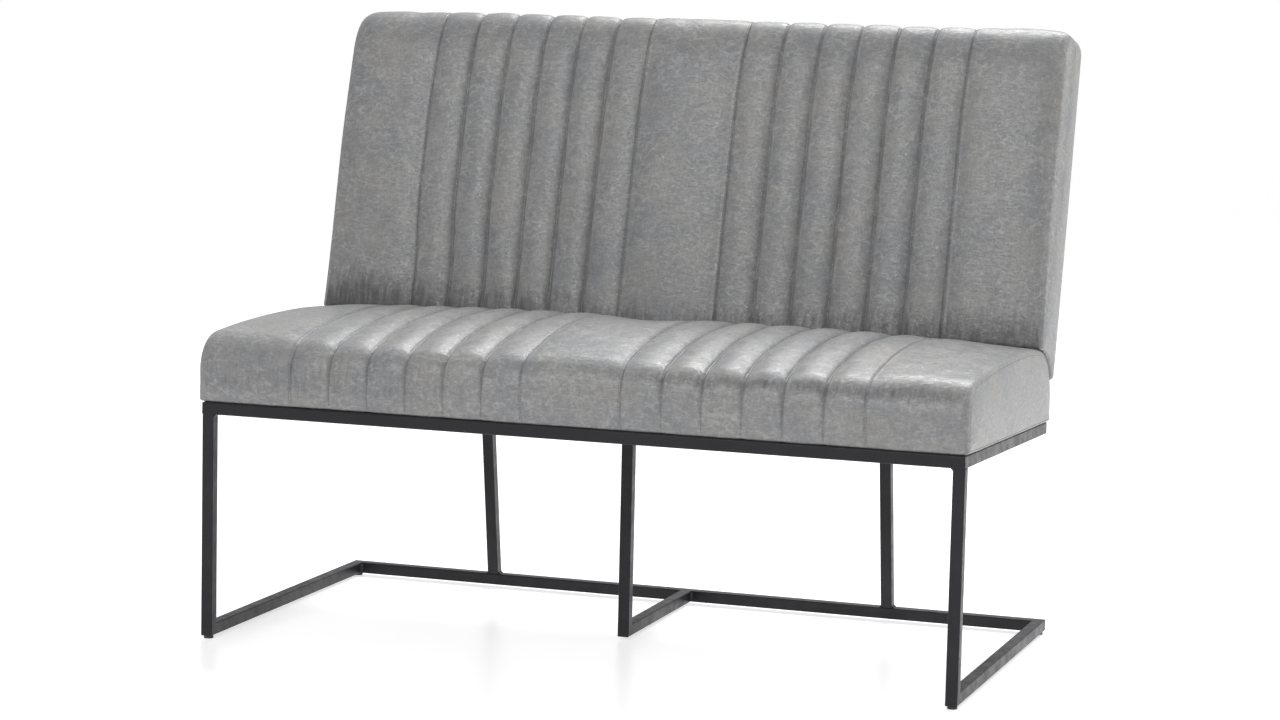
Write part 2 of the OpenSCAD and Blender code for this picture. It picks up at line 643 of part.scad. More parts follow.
module back_front_panel() color(timber_tan) back_sheet(panel_v, front_panel_t);
module back_rear_panel() color(timber_tan) back_sheet(rear_panel_v, rear_panel_t);
// Outline of what the back's cover holds, from its end, up to depth v
module back_core(half, v, grow) back_plane() translate([-half, 0, 0]) rotate([90, 0, 90])
    linear_extrude(2 * half) polygon([
        [back_cover_t - grow, core_low - grow], [v + grow, core_low - grow], [v + grow, core_high + grow],
        [back_cover_t + foam_chamfer, core_high + grow], [back_cover_t - grow, core_high - foam_chamfer]
    ]);
module back_foam() color(foam_cream) back_core(core_half, panel_v, 0);
module back_cover() color(leather_grey) difference() {
    placed() cushion(back_rings);
    back_core(core_half + fit, rear_panel_v + rear_panel_t, fit);
    for (s = [-1, 1]) bracket_bar(s, fit);
}

seat_front_rail();
seat_rear_rail();
seat_side_rail_left();
seat_side_rail_right();
seat_centre_rail();
front_leg_left();
front_leg_right();
centre_leg();
floor_runner_left();
floor_runner_right();
floor_centre_runner();
floor_rear_rail();
rear_upright_left();
rear_upright_right();
weld_fillets();
foot_glides();
seat_fixing_tabs();
seat_bolts();
seat_tee_nuts();
dust_cover();
seat_board();
seat_foam();
seat_cover();
back_bracket_left();
back_bracket_right();
back_bolts();
back_tee_nuts();
back_top_rail();
back_bottom_rail();
back_side_stile_left();
back_side_stile_right();
back_inner_stile_left();
back_inner_stile_right();
back_middle_stile();
back_front_panel();
back_foam();
back_rear_panel();
back_cover();
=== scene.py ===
# %% [markdown]
# An upholstered dining bench: grey distressed leather, sewn into vertical channels, on a frame of
# black square tube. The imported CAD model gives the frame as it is. Its soft covers are rebuilt here
# as fine skins, because leather needs channels, seams, creases and stitches that the plain solids
# don't have. All lengths are in metres.

# %% Load the frame
import math
import bpy
import numpy as np
from mathutils import Matrix, Vector


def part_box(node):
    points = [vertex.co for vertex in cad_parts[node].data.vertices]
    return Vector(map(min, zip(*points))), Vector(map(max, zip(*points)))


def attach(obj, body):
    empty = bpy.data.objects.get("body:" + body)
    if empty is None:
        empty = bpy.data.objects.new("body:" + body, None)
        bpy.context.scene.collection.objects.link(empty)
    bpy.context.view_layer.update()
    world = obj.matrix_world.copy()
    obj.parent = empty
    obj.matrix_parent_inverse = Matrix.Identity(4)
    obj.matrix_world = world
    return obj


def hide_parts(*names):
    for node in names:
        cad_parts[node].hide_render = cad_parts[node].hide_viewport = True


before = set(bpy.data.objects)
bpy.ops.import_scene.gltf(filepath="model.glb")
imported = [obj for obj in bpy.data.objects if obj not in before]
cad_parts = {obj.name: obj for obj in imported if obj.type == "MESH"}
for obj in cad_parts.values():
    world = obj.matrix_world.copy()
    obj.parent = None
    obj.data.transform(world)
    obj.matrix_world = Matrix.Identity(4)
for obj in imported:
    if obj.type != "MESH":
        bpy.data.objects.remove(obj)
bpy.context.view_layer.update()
MM = 0.001
print("nodes in the frame:", len(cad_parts))

# %% [markdown]
# The bench's own sizes follow. They are the driving sizes of the CAD source, apart from the round
# edges and the ends of the crown, which are fuller on the real leather than on the solids. The
# place of the steel frame is measured on the loaded model, so that the skins sit on it exactly.
# Depths Y are counted from the frame's front face until a piece is put in its place.

# %% Sizes of the bench
TUBE = 20 * MM
SEAT_FRAME_D = 600 * MM
SEAT_TILT = math.radians(2.2)
SEAT_T = 110 * MM
SEAT_FRONT_R = 54 * MM
SEAT_END_R = 62 * MM
SEAT_REAR_R = 96 * MM
SEAT_CROWN = 36 * MM
SEAT_END_CROWN = 11.5 * MM
BROW_RISE = 5 * MM
CROWN_Y = 300 * MM
CROWN_POWER = 2.3
END_POWER = 4
SEAT_BULGE = 5 * MM
SEAT_GAP = 1 * MM
HEM_R = 6 * MM
OVERHANG = 4 * MM
BACK_LEAN = math.radians(14.8)
BACK_EDGE_R = 30 * MM
BACK_T = 118 * MM
BACK_TOP_Z = 1042 * MM
BRACKET_BACK_V = 100 * MM
CHANNEL_W = 67 * MM
CHANNELS = 6
MIDDLE_HALF = 86 * MM
SEAT_END_BULGE, BACK_END_BULGE = 4 * MM, 2 * MM
SIDE_SEAM_INSET = 14 * MM

front_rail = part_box("seat_front_rail")
half_w = (front_rail[1][0] - front_rail[0][0]) / 2
soft_half = half_w + OVERHANG
side_seam = soft_half - SIDE_SEAM_INSET
outer_seam = MIDDLE_HALF + CHANNELS * CHANNEL_W
front_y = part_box("front_leg_left")[0][1]
frame_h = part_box("seat_side_rail_left")[1][2]
seat_seam_z = frame_h + SEAT_T
seat_rear_y = SEAT_FRAME_D + OVERHANG
rear_arc_y = seat_rear_y - SEAT_REAR_R
rear_arc_z = seat_seam_z - SEAT_REAR_R
brow_z = seat_seam_z + BROW_RISE
bend_y = (SEAT_FRAME_D - TUBE) * math.cos(SEAT_TILT)
bend_z = frame_h - (SEAT_FRAME_D - TUBE) * math.sin(SEAT_TILT)
print("half width", round(half_w, 4), "front at", round(front_y, 4), "frame top", round(frame_h, 4))


def seat_floor(y):
    """Height of the seat's underside at depth y."""
    return frame_h - y * math.tan(SEAT_TILT) + SEAT_GAP


def back_point(v, w):
    """Depth v and height w in the leaning back's own plane, as Y and Z."""
    y = bend_y + (v - BRACKET_BACK_V) * math.cos(BACK_LEAN) + w * math.sin(BACK_LEAN)
    z = bend_z - (v - BRACKET_BACK_V) * math.sin(BACK_LEAN) + w * math.cos(BACK_LEAN)
    return y, z


def back_height(v, z):
    """Height w along the back of the point at depth v and height z."""
    return (z - bend_z + (v - BRACKET_BACK_V) * math.sin(BACK_LEAN)) / math.cos(BACK_LEAN)


# %% [markdown]
# The camera stands where the photograph was taken: about 5.8 m away with a long lens, to the right
# of the bench and turned by a degree.

# %% Camera
CAMERA_PLACE = (1.8412, -5.1197, 1.1904)
CAMERA_AZIMUTH = math.radians(18.620)
CAMERA_DIP = math.radians(7.101)
CAMERA_ROLL = math.radians(1.305)
FOCAL_PX = 3428.8
IMAGE_W = 1280
SENSOR_MM = 36


def add_object(data):
    """Put data, such as a mesh or a lamp, into the scene as an object of the same name."""
    made = bpy.data.objects.new(data.name, data)
    bpy.context.scene.collection.objects.link(made)
    return made


def turn(axis, angle):
    return Matrix.Rotation(angle, 3, axis).to_quaternion()


def make_camera():
    data = bpy.data.cameras.new("photo_camera")
    data.sensor_width = SENSOR_MM
    data.lens = FOCAL_PX / IMAGE_W * SENSOR_MM
    camera = add_object(data)
    x, y, z = CAMERA_PLACE
    camera.location = (x, y + front_y, z)
    camera.rotation_mode = "QUATERNION"
    aim = turn("Z", CAMERA_AZIMUTH) @ turn("X", math.pi / 2 - CAMERA_DIP)
    camera.rotation_quaternion = aim @ turn("Z", CAMERA_ROLL)
    bpy.context.scene.camera = camera
    return camera


print("lens", round(make_camera().data.lens, 2), "mm")

# %% [markdown]
# Real upholstery is never quite even. A smooth noise, made from a table of seeded random numbers,
# moves seams and skins a little and gives the same bench on each run.

# %% Smooth noise and steps
NOISE_SIZE = 256


def smooth_noise(u, v, seed):
    """Smooth noise from -1 to 1 at the places u, v, given in steps of one bump."""
    table = np.random.RandomState(seed).uniform(-1, 1, (NOISE_SIZE, NOISE_SIZE))
    u, v = np.broadcast_arrays(np.asarray(u, float), np.asarray(v, float))
    iu, iv = np.floor(u).astype(int), np.floor(v).astype(int)
    fu, fv = u - iu, v - iv
    fu, fv = fu * fu * (3 - 2 * fu), fv * fv * (3 - 2 * fv)
    ju, jv = (iu + 1) % NOISE_SIZE, (iv + 1) % NOISE_SIZE
    iu, iv = iu % NOISE_SIZE, iv % NOISE_SIZE
    low = table[iu, iv] * (1 - fu) + table[ju, iv] * fu
    high = table[iu, jv] * (1 - fu) + table[ju, jv] * fu
    return low * (1 - fv) + high * fv


def smooth_step(low, high, value):
    """0 up to low, 1 from high on, and a smooth slope between."""
    t = np.clip((value - low) / (high - low), 0, 1)
    return t * t * (3 - 2 * t)


def bell(distance, width):
    """A smooth hump: 1 at no distance, and close to 0 from twice the width on."""
    return np.exp(-(distance / width) ** 2)


# %% [markdown]
# Each new piece is a mesh that rides on the bench's one body. Each cover and foam block hides the
# CAD node that it stands for. The points of a mesh may carry fields, such as their place across
# the bench, which later steps read back.

# %% Helpers for meshes
def mesh_object(name, points, faces):
    mesh = bpy.data.meshes.new(name)
    mesh.from_pydata(points, [], faces)
    return add_object(mesh)


def new_piece(name, points, faces):
    made = mesh_object(name, points.tolist(), faces)
    made.data.validate()
    made.data.shade_smooth()
    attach(made, "root")
    return made


def stand_for(node):
    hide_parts(node)


def read(items, name, width=1):
    """One property of many items, such as the places of a mesh's points, as numbers."""
    values = np.zeros(len(items) * width, dtype=np.float32)
    items.foreach_get(name, values)
    return values.astype(float)


def field(mesh, name):
    return read(mesh.attributes[name].data, "value")


def set_field(mesh, name, values):
    if name not in mesh.attributes:
        mesh.attributes.new(name, "FLOAT", "POINT")
    mesh.attributes[name].data.foreach_set("value", values.astype(np.float32))


# %% [markdown]
# Both covers are lofted: one closed outline of the cushion is set at each of some 200 places across
# the bench, crowded beside the seams, where the leather turns sharply. All outlines of one cover
# have the same count of points, so that they join into clean four-sided faces.

# %% Places across the bench
NEAR_STEPS = np.array([0, 1.3, 3.2, 7.5, 14, 23]) * MM
LEAST_STEP = 2 * MM
PLAIN_STEP = 12 * MM
seams = np.array([s * (MIDDLE_HALF + i * CHANNEL_W) for s in (-1, 1) for i in range(CHANNELS + 1)])
seams.sort()
flat_seams = (0, CHANNELS, CHANNELS + 1, 2 * CHANNELS + 1)


def steps_between(start, end):
    """Places from one seam to the next, crowded beside both seams, without the last one."""
    middle = (end - start) / 2
    near = NEAR_STEPS[NEAR_STEPS < middle - LEAST_STEP]
    plain = np.arange(near[-1] + PLAIN_STEP, middle - PLAIN_STEP / 2, PLAIN_STEP)
    half = np.concatenate([near, plain])
    return np.concatenate([start + half, [start + middle], (end - half)[:0:-1]])


stops = np.concatenate([[-side_seam], seams, [side_seam]])
gaps = [steps_between(start, end) for start, end in zip(stops[:-1], stops[1:])]
across = np.concatenate(gaps + [[side_seam]])
print("places across the bench:", len(across))

# %% [markdown]
# A channel is a tube of wadding between two rows of stitches. Its skin is round on top and dives
# into a sharp groove at the stitches. The back's channels are flatter than the seat's, with narrow
# grooves. Where a group of channels meets a plain panel, two hides are sewn flat, so that the seam
# is shallow and crisp.

# %% Channels and seams
SEAT_GROOVE, SEAT_GROOVE_POWER = 8.5 * MM, 2.0
BACK_GROOVE, BACK_GROOVE_POWER = 6.5 * MM, 4.2
FLAT_SEAM = 3.6 * MM
PLAIN_RISE = 2.5 * MM


def puff(x, share, groove, power):
    """Outward move of the skin at place x; share scales the grooves along the outline."""
    pull = np.zeros_like(share)
    for number, place in enumerate(seams):
        depth = FLAT_SEAM if number in flat_seams else groove
        fade = max(0.0, 1 - abs(x - place) / (CHANNEL_W / 2)) ** power
        pull = np.maximum(pull, depth * fade * share)
    rise = 0.0
    a = abs(x)
    if a < MIDDLE_HALF:
        rise = PLAIN_RISE * (1 - (a / MIDDLE_HALF) ** 2)
    elif a > outer_seam:
        s = min(1.0, (a - outer_seam) / (side_seam - outer_seam))
        rise = PLAIN_RISE * (1 - (2 * s - 1) ** 2)
    return rise * np.minimum(1, share) - pull


# %% [markdown]
# The seat's outline, seen from its end: a tucked hem above the steel, a full front that rounds over
# like a waterfall, a high crown that flattens towards the ends, and a large round rear, on which
# the back rests. The plain middle panel is slack and sags behind the crown.

# %% Outline of the seat
def oval(cy, cz, ry, rz, start, end, count):
    a = np.radians(np.linspace(start, end, count, endpoint=False))
    return np.stack([cy + ry * np.cos(a), cz + rz * np.sin(a)], axis=1)


def arc(cy, cz, r, start, end, count):
    """Points of a round arc between two angles in degrees, without the last one."""
    return oval(cy, cz, r, r, start, end, count)


def straight(start, end, count, whole=False):
    """Points from start to end, without the last one unless the path is whole."""
    t = np.linspace(0, 1, count, endpoint=whole)[:, None]
    return np.array(start) * (1 - t) + np.array(end) * t


ROUNDER_FROM, ROUNDER_TO = 300 * MM, 600 * MM
SAG = 8 * MM
SAG_START, SAG_END = 180 * MM, 400 * MM
SWELL_SPEED = 1.6
SEAT_ROWS = dict(hem=4, front=11, fall=12, rise=34, descent=22, rear=12, drop=4, rear_hem=4,
                 under=10)
HEM_SHARE, FRONT_SHARE, FRONT_GAIN, FRONT_POWER = 0.05, 0.1, 0.2, 1.5
SEAT_SHARES = dict(fall=(0.3, 1), rise=(1, 0.8), descent=(0.8, 0.5), rear=(0.4, 0))


def crown_z(x):
    """Height of the crown's highest line at place x."""
    share = min(1.0, abs(x) / side_seam) ** END_POWER
    return seat_seam_z + SEAT_CROWN + (SEAT_END_CROWN - SEAT_CROWN) * share


def edge_slope(x, y, edge_z):
    """Slope in degrees at which the crown meets a round edge centred at depth y."""
    return math.degrees(math.atan(CROWN_POWER * (crown_z(x) - edge_z) / abs(y - CROWN_Y)))


def dome(x, edge, shares):
    """Points of the crown at shares of the way from an edge point to the highest line."""
    y = edge[0] + (CROWN_Y - edge[0]) * np.atleast_1d(shares)
    way = np.abs((y - CROWN_Y) / (edge[0] - CROWN_Y))
    z = edge[1] + (crown_z(x) - edge[1]) * (1 - way ** CROWN_POWER)
    slack = max(0.0, 1 - (x / MIDDLE_HALF) ** 2)
    return np.stack([y, z - SAG * slack * smooth_step(SAG_START, SAG_END, y)], axis=1)


def rear_edge(x):
    """The point where the crown meets the round rear, and its angle on the arc."""
    a = 90 - edge_slope(x, rear_arc_y, seat_seam_z)
    point = arc(rear_arc_y, rear_arc_z, SEAT_REAR_R, a, 0, 1)[0]
    return point, a


def seat_outline(x):
    """Points (y, z) of the closed outline, and for each the share of the grooves that it takes."""
    n = SEAT_ROWS
    r = SEAT_FRONT_R + (SEAT_END_R - SEAT_FRONT_R) * smooth_step(ROUNDER_FROM, ROUNDER_TO, abs(x))
    hem_z, front_top = seat_floor(0) + HEM_R, brow_z - r
    hem = arc(HEM_R, hem_z, HEM_R, -90, -180, n["hem"])
    t = np.linspace(0, 1, n["front"], endpoint=False)
    swell = np.sin(np.minimum(1, t * SWELL_SPEED) * math.pi / 2)
    front = np.stack([-SEAT_BULGE * swell, hem_z + (front_top - hem_z) * t], axis=1)
    fall_end = 90 + edge_slope(x, SEAT_FRONT_R, brow_z)
    fall = arc(r - SEAT_BULGE, front_top, r, 180, fall_end, n["fall"])
    edge = arc(r - SEAT_BULGE, front_top, r, fall_end, 0, 1)[0]
    rise = dome(x, edge, np.linspace(0, 1, n["rise"], endpoint=False))
    rear_point, rear_angle = rear_edge(x)
    descent = dome(x, rear_point, np.linspace(1, 0, n["descent"], endpoint=False))
    rear = arc(rear_arc_y, rear_arc_z, SEAT_REAR_R, rear_angle, 0, n["rear"])
    foot_z = seat_floor(seat_rear_y) + HEM_R
    drop = straight((seat_rear_y, rear_arc_z), (seat_rear_y, foot_z), n["drop"])
    rear_hem = arc(seat_rear_y - HEM_R, foot_z, HEM_R, 0, -90, n["rear_hem"])
    low_rear = (seat_rear_y - HEM_R, seat_floor(seat_rear_y - HEM_R))
    under = straight(low_rear, (HEM_R, seat_floor(HEM_R)), n["under"])
    share = np.concatenate([
        np.full(n["hem"], HEM_SHARE),
        FRONT_SHARE + FRONT_GAIN * np.linspace(0, 1, n["front"]) ** FRONT_POWER,
        *(np.linspace(*ends, n[name]) for name, ends in SEAT_SHARES.items()),
        np.zeros(n["drop"] + n["rear_hem"] + n["under"])])
    return np.concatenate([hem, front, fall, rise, descent, rear, drop, rear_hem, under]), share


# %% [markdown]
# The back's outline is the same idea in the back's own plane: a flat front, a round top edge, a
# plain rear and a hollow underside that follows the seat's round rear.

# %% Outline of the back
FOOT_GAP = 0.6 * MM
TUCK_R = 6 * MM
FRONT_SWELL = 1.5 * MM
REAR_SWELL = 2 * MM
FOOT_GUESS, FOOT_STEPS = 100 * MM, 12
BACK_ROWS = dict(tuck=4, front=74, edge=20, top=8, rear_edge=8, rear=36, rear_tuck=3, foot=14)
TUCK_SHARE, LOW_SHARE, TOP_SHARE = 0.4, 0.5, 0.45
LOW_PART = 0.12
TOP_FRONT_D, TOP_FRONT_H = 44 * MM, 80 * MM
TOP_LIFT = 1.5 * MM
LEFT_TOP_DROP = 4 * MM
edge_w = back_height(BACK_EDGE_R, BACK_TOP_Z - BACK_EDGE_R)


def seat_rear_z(x, y):
    """Height of the seat at depth y behind its crown."""
    edge, _ = rear_edge(x)
    if y < edge[0]:
        return dome(x, edge, (y - edge[0]) / (CROWN_Y - edge[0]))[0, 1]
    return rear_arc_z + math.sqrt(max(0.0, SEAT_REAR_R ** 2 - (y - rear_arc_y) ** 2))


def back_foot(x, v):
    """Lowest height w along the back, at depth v, that clears the seat."""
    w = FOOT_GUESS
    for _ in range(FOOT_STEPS):
        y, _ = back_point(v, w)
        w = (w + back_height(v, seat_rear_z(x, min(y, seat_rear_y - HEM_R)) + FOOT_GAP)) / 2
    return w


def back_outline(x):
    """Points (y, z) of the closed outline, and for each the share of the grooves that it takes."""
    n = BACK_ROWS
    low, rear_low, top = back_foot(x, 0), back_foot(x, BACK_T), edge_w
    tuck = arc(TUCK_R, low + TUCK_R, TUCK_R, -90, -180, n["tuck"])
    t = np.linspace(0, 1, n["front"], endpoint=False)
    top -= LEFT_TOP_DROP * smooth_step(outer_seam - CHANNEL_W, side_seam, -x)
    top_w = top + BACK_EDGE_R + TOP_LIFT
    bend_w = top_w - TOP_FRONT_H
    front_w = low + TUCK_R + (bend_w - low - TUCK_R) * t
    front = np.stack([-FRONT_SWELL * np.sin(math.pi * t), front_w], axis=1)
    edge = oval(TOP_FRONT_D, bend_w, TOP_FRONT_D, TOP_FRONT_H, 180, 90, n["edge"])
    level = straight((TOP_FRONT_D, top_w), (BACK_T - BACK_EDGE_R, top_w - TOP_LIFT), n["top"])
    rear_round = arc(BACK_T - BACK_EDGE_R, top, BACK_EDGE_R, 90, 0, n["rear_edge"])
    t = np.linspace(0, 1, n["rear"], endpoint=False)
    rear_w = top + (rear_low + TUCK_R - top) * t
    rear = np.stack([BACK_T + REAR_SWELL * np.sin(math.pi * t), rear_w], axis=1)
    rear_tuck = arc(BACK_T - TUCK_R, rear_low + TUCK_R, TUCK_R, 0, -90, n["rear_tuck"])
    depths = np.linspace(BACK_T - TUCK_R, TUCK_R, n["foot"], endpoint=False)
    foot = np.array([(v, back_foot(x, v)) for v in depths])
    points = np.concatenate([tuck, front, edge, level, rear_round, rear, rear_tuck, foot])
    y, z = back_point(points[:, 0], points[:, 1])
    rising = smooth_step(0, LOW_PART, np.linspace(0, 1, n["front"]))
    share = np.concatenate([
        np.full(n["tuck"], TUCK_SHARE), LOW_SHARE + (1 - LOW_SHARE) * rising,
        np.linspace(1, TOP_SHARE, n["edge"]), np.full(n["top"], TOP_SHARE),
        np.linspace(TOP_SHARE, 0, n["rear_edge"]),
        np.zeros(n["rear"] + n["rear_tuck"] + n["foot"])])
    return np.stack([y, z], axis=1), share


print("foot of the back:", round(back_foot(0, 0), 4), "to", round(back_foot(0, BACK_T), 4))

# %% [markdown]
# No cushion is stuffed evenly. The back is fuller at its left side, most of all near the top, and
# its hide is pulled a little to the left, so that the seams bend near the top and the foot. Both
# are plain sums on the height and the place across, made with smooth steps.

# %% Uneven stuffing
LEFT_FLARE, LOW_FLARE, RIGHT_FLARE = 17.5 * MM, 0.45, 2.5 * MM
FLARE_START, FLARE_END = 520 * MM, 860 * MM
SEAT_LEFT_FLARE = 3.4 * MM
DRIFT, DRIFT_BOW, DRIFT_FOOT, DRIFT_MIDDLE = 4 * MM, 6 * MM, 8 * MM, 7 * MM
DRIFT_X, DRIFT_W = -120 * MM, 130 * MM
DRIFT_TOP, DRIFT_LOW, DRIFT_HIGH = 880 * MM, 570 * MM, 720 * MM
DRIFT_LEFT_START, DRIFT_LEFT_END = 180 * MM, 450 * MM


def back_half(side, z):
    """Half width of the back at height z."""
    flare = LEFT_FLARE * (LOW_FLARE + (1 - LOW_FLARE) * smooth_step(FLARE_START, FLARE_END, z))
    return soft_half + (flare if side < 0 else RIGHT_FLARE + 0 * z)


def seat_half(side, z):
    return soft_half + (SEAT_LEFT_FLARE if side < 0 else 0) + 0 * z


def back_drift(x, z):
    """Move of the back's hide across the bench. It is negative, so the hide goes to the left."""
    slack = DRIFT + DRIFT_MIDDLE * bell(x - DRIFT_X, DRIFT_W)
    bow = DRIFT_BOW * (1 - smooth_step(DRIFT_TOP, BACK_TOP_Z, z))
    left = smooth_step(DRIFT_LEFT_START, DRIFT_LEFT_END, -x)
    foot = DRIFT_FOOT * (1 - smooth_step(DRIFT_LOW, DRIFT_HIGH, z)) * left
    return foot - slack - bow


def no_drift(x, z):
    return 0 * z


print("the back is wider at its left by", round(LEFT_FLARE / MM, 1), "mm")

# %% [markdown]
# A skin is a grid of points: one column for each place across the bench, one row for each point of
# the outline. The columns' points move out or in by the channels' puff. Each end gets a rounded
# edge, a notch where the side panel is sewn in, and then rings that dome the panel and close it.

# %% Grid of a cover
EDGE_TURNS = (14, 28, 42, 56, 70, 84)
NOTCH_STEP = 4
PANEL_SHARES = (0.06, 0.14, 0.25, 0.4, 0.6, 0.8)
STRETCH_START = 25 * MM


def outward(points):
    """Outward directions of a closed outline that runs up the front and down the rear."""
    along = np.roll(points, -1, axis=0) - np.roll(points, 1, axis=0)
    normal = np.stack([-along[:, 1], along[:, 0]], axis=1)
    return normal / np.linalg.norm(normal, axis=1)[:, None]


def edge_steps(seam_turn, seam_depth):
    """Turning angles of the end's rounded edge with the depth of the seam's notch at each."""
    plain = [(angle, 0.0) for angle in EDGE_TURNS if abs(angle - seam_turn) > 1.5 * NOTCH_STEP]
    notch = [(seam_turn - NOTCH_STEP, 0.0), (seam_turn, seam_depth), (seam_turn + NOTCH_STEP, 0.0)]
    return [(math.radians(angle), depth) for angle, depth in sorted(plain + notch)]


def nearest_station(spine, points):
    """For each point, the number of the nearest station of a spine."""
    gaps = np.linalg.norm(points[:, None, :] - spine[None, :, :], axis=2)
    return np.argmin(gaps, axis=1)


def end_columns(form, side):
    """Columns of one end, from the rounded edge over the seam to the middle of the panel."""
    points, _ = form["outline"](side * side_seam)
    normal, radii = outward(points), form["radii"][side]
    half = form["half"](side, points[:, 1])
    columns = []
    for turn_angle, depth in edge_steps(*form["seam"]):
        r = radii - depth
        x = half - radii + r * math.sin(turn_angle)
        columns.append((x, points - normal * (radii - r * math.cos(turn_angle))[:, None]))
    rim_highlight = columns[-1][1]
    spine = form["spine"]
    near = nearest_station(spine, rim_highlight)
    target, target_half = spine[near], form["half"](side, spine[near, 1])
    for share in PANEL_SHARES:
        x = half + (target_half - half) * share + form["bulge"] * (1 - (1 - share) ** 2)
        columns.append((x, rim_highlight + (target - rim_highlight) * share))
    return [np.column_stack([side * x, yz]) for x, yz in columns]


def cover_grid(form):
    """The grid of a cover's points, and the place across and groove share of each."""
    columns, shares, places = [], [], []
    for x in across:
        side = -1 if x < 0 else 1
        points, share = form["outline"](x)
        stretch = smooth_step(outer_seam + STRETCH_START, side_seam, abs(x))
        edge_x = form["half"](side, points[:, 1]) - form["radii"][side]
        moved = x + side * (edge_x - side_seam) * stretch
        moved = moved + form["drift"](x, points[:, 1]) * (1 - stretch)
        points = points + outward(points) * puff(x, share, *form["groove"])[:, None]
        columns.append(np.column_stack([moved, points]))
        shares.append(share)
        places.append(np.full(len(share), x))
    left, right = end_columns(form, -1)[::-1], end_columns(form, 1)
    grid = np.array(left + columns + right)
    shares = np.array([shares[0]] * len(left) + shares + [shares[-1]] * len(right))
    places = np.array([places[0]] * len(left) + places + [places[-1]] * len(right))
    return grid, shares, places


def row_starts(rows):
    """Number of the first row of each stretch of an outline."""
    starts, total = {}, 0
    for name, count in rows.items():
        starts[name] = total
        total += count
    starts["all"] = total
    return starts


# %% [markdown]
# Both covers come from the same steps, so each is described by a small form: its outline, its half
# width, its grooves and how they drift, the radius of its end edges, the seam of its end panels and
# how far these swell. Each point also keeps its place across, its way along the hide and its row.

# %% Skins of the seat and the back
SPINE_STATIONS = 18
SPINE_FIELDS = {"end": 1.0, "along": 0.4}
SEAT_END_SEAM, BACK_END_SEAM = (86, 1.4 * MM), (46, 0.3 * MM)
SEAT_SPINE = (80 * MM, 456 * MM), (520 * MM, 442 * MM)
BACK_SPINE = [back_point(BACK_T / 2, w * MM) for w in (190, 565)]
seat_row, back_row = row_starts(SEAT_ROWS), row_starts(BACK_ROWS)


def radii_of(rows, sizes):
    """Radius of the end's rounded edge along an outline, blended between its stretches."""
    starts = row_starts(rows)
    places = [starts[name] + rows[name] / 2 for name in sizes]
    return np.interp(np.arange(starts["all"]), places, np.array(list(sizes.values())) * MM)


end_sizes = dict(hem=6, front=15, fall=13, rise=8, descent=8, rear=8, drop=6, under=5)
right_sizes = dict(tuck=6, front=48, edge=38, top=27, rear_edge=22, rear=16, foot=6)
left_sizes = dict(tuck=6, front=25, edge=38, top=40, rear_edge=34, rear=14, foot=6)
seat_form = dict(
    outline=seat_outline, half=seat_half, seam=SEAT_END_SEAM, bulge=SEAT_END_BULGE,
    groove=(SEAT_GROOVE, SEAT_GROOVE_POWER), drift=no_drift,
    radii={side: radii_of(SEAT_ROWS, end_sizes) for side in (-1, 1)},
    spine=straight(*SEAT_SPINE, SPINE_STATIONS, True))
back_form = dict(
    outline=back_outline, half=back_half, seam=BACK_END_SEAM, bulge=BACK_END_BULGE,
    groove=(BACK_GROOVE, BACK_GROOVE_POWER), drift=back_drift,
    radii={-1: radii_of(BACK_ROWS, left_sizes), 1: radii_of(BACK_ROWS, right_sizes)},
    spine=straight(*BACK_SPINE, SPINE_STATIONS, True))


def loft_faces(columns, rows):
    """Four-sided faces between neighbouring columns, whose rows wrap round."""
    i, j = np.meshgrid(np.arange(columns - 1), np.arange(rows), indexing="ij")
    k = (j + 1) % rows
    corners = [i * rows + j, (i + 1) * rows + j, (i + 1) * rows + k, i * rows + k]
    return np.stack(corners, axis=-1).reshape(-1, 4).tolist()


def end_faces(ring, stations, first_station):
    """Faces that close a ring on its spine: ring holds the points' numbers in order."""
    faces = []
    for j in range(len(ring)):
        k = (j + 1) % len(ring)
        a, b = stations[j], stations[k]
        step = 1 if b >= a else -1
        between = [first_station + c for c in range(b, a - step, -step)]
        faces.append([ring[j], ring[k]] + between)
    return faces


def skin_mesh(name, grid, form):
    """A closed mesh over a grid whose rows wrap round and whose ends close on a spine."""
    spine, (n, m) = form["spine"], grid.shape[:2]
    faces, points = loft_faces(n, m), [grid.reshape(-1, 3)]
    for side, column in ((-1, 0), (1, n - 1)):
        stations = nearest_station(spine, grid[column, :, 1:])
        ring = [column * m + row for row in range(m)]
        first = n * m + (0 if side < 0 else len(spine))
        closing = end_faces(ring, stations, first)
        faces += [face[::-1] for face in closing] if side > 0 else closing
        reach = side * (form["half"](side, spine[:, 1]) + form["bulge"])
        points.append(np.column_stack([reach, spine]))
    points = np.concatenate(points)
    points[:, 1] += front_y
    return new_piece(name, points, faces)


def run_of(points):
    """Length along a path at each of its points."""
    steps = np.linalg.norm(np.diff(points, axis=0), axis=1)
    return np.concatenate([[0], np.cumsum(steps)])


def make_skin(name, form, node):
    """One cover, with the size of its grid and the count of columns at each end."""
    grid, share, place = cover_grid(form)
    size, ends = grid.shape[:2], (len(grid) - len(across)) // 2
    along = np.broadcast_to(run_of(grid[len(grid) // 2, :, 1:]), size)
    rows = np.broadcast_to(np.arange(size[1], dtype=float), size)
    flat, seam_line = np.zeros(size), np.zeros(size)
    flat[:ends] = flat[-ends:] = 1
    notch = [depth for _, depth in edge_steps(*form["seam"])].index(form["seam"][1])
    seam_line[ends - 1 - notch] = seam_line[len(grid) - ends + notch] = 1
    fields = dict(across=place, along=along, share=share, row=rows, end=flat, end_seam=seam_line)
    made = skin_mesh(name, grid, form)
    for label, values in fields.items():
        on_spine = np.full(2 * SPINE_STATIONS, SPINE_FIELDS.get(label, 0.0))
        set_field(made.data, label, np.concatenate([values.reshape(-1), on_spine]))
    stand_for(node)
    return made, size, ends


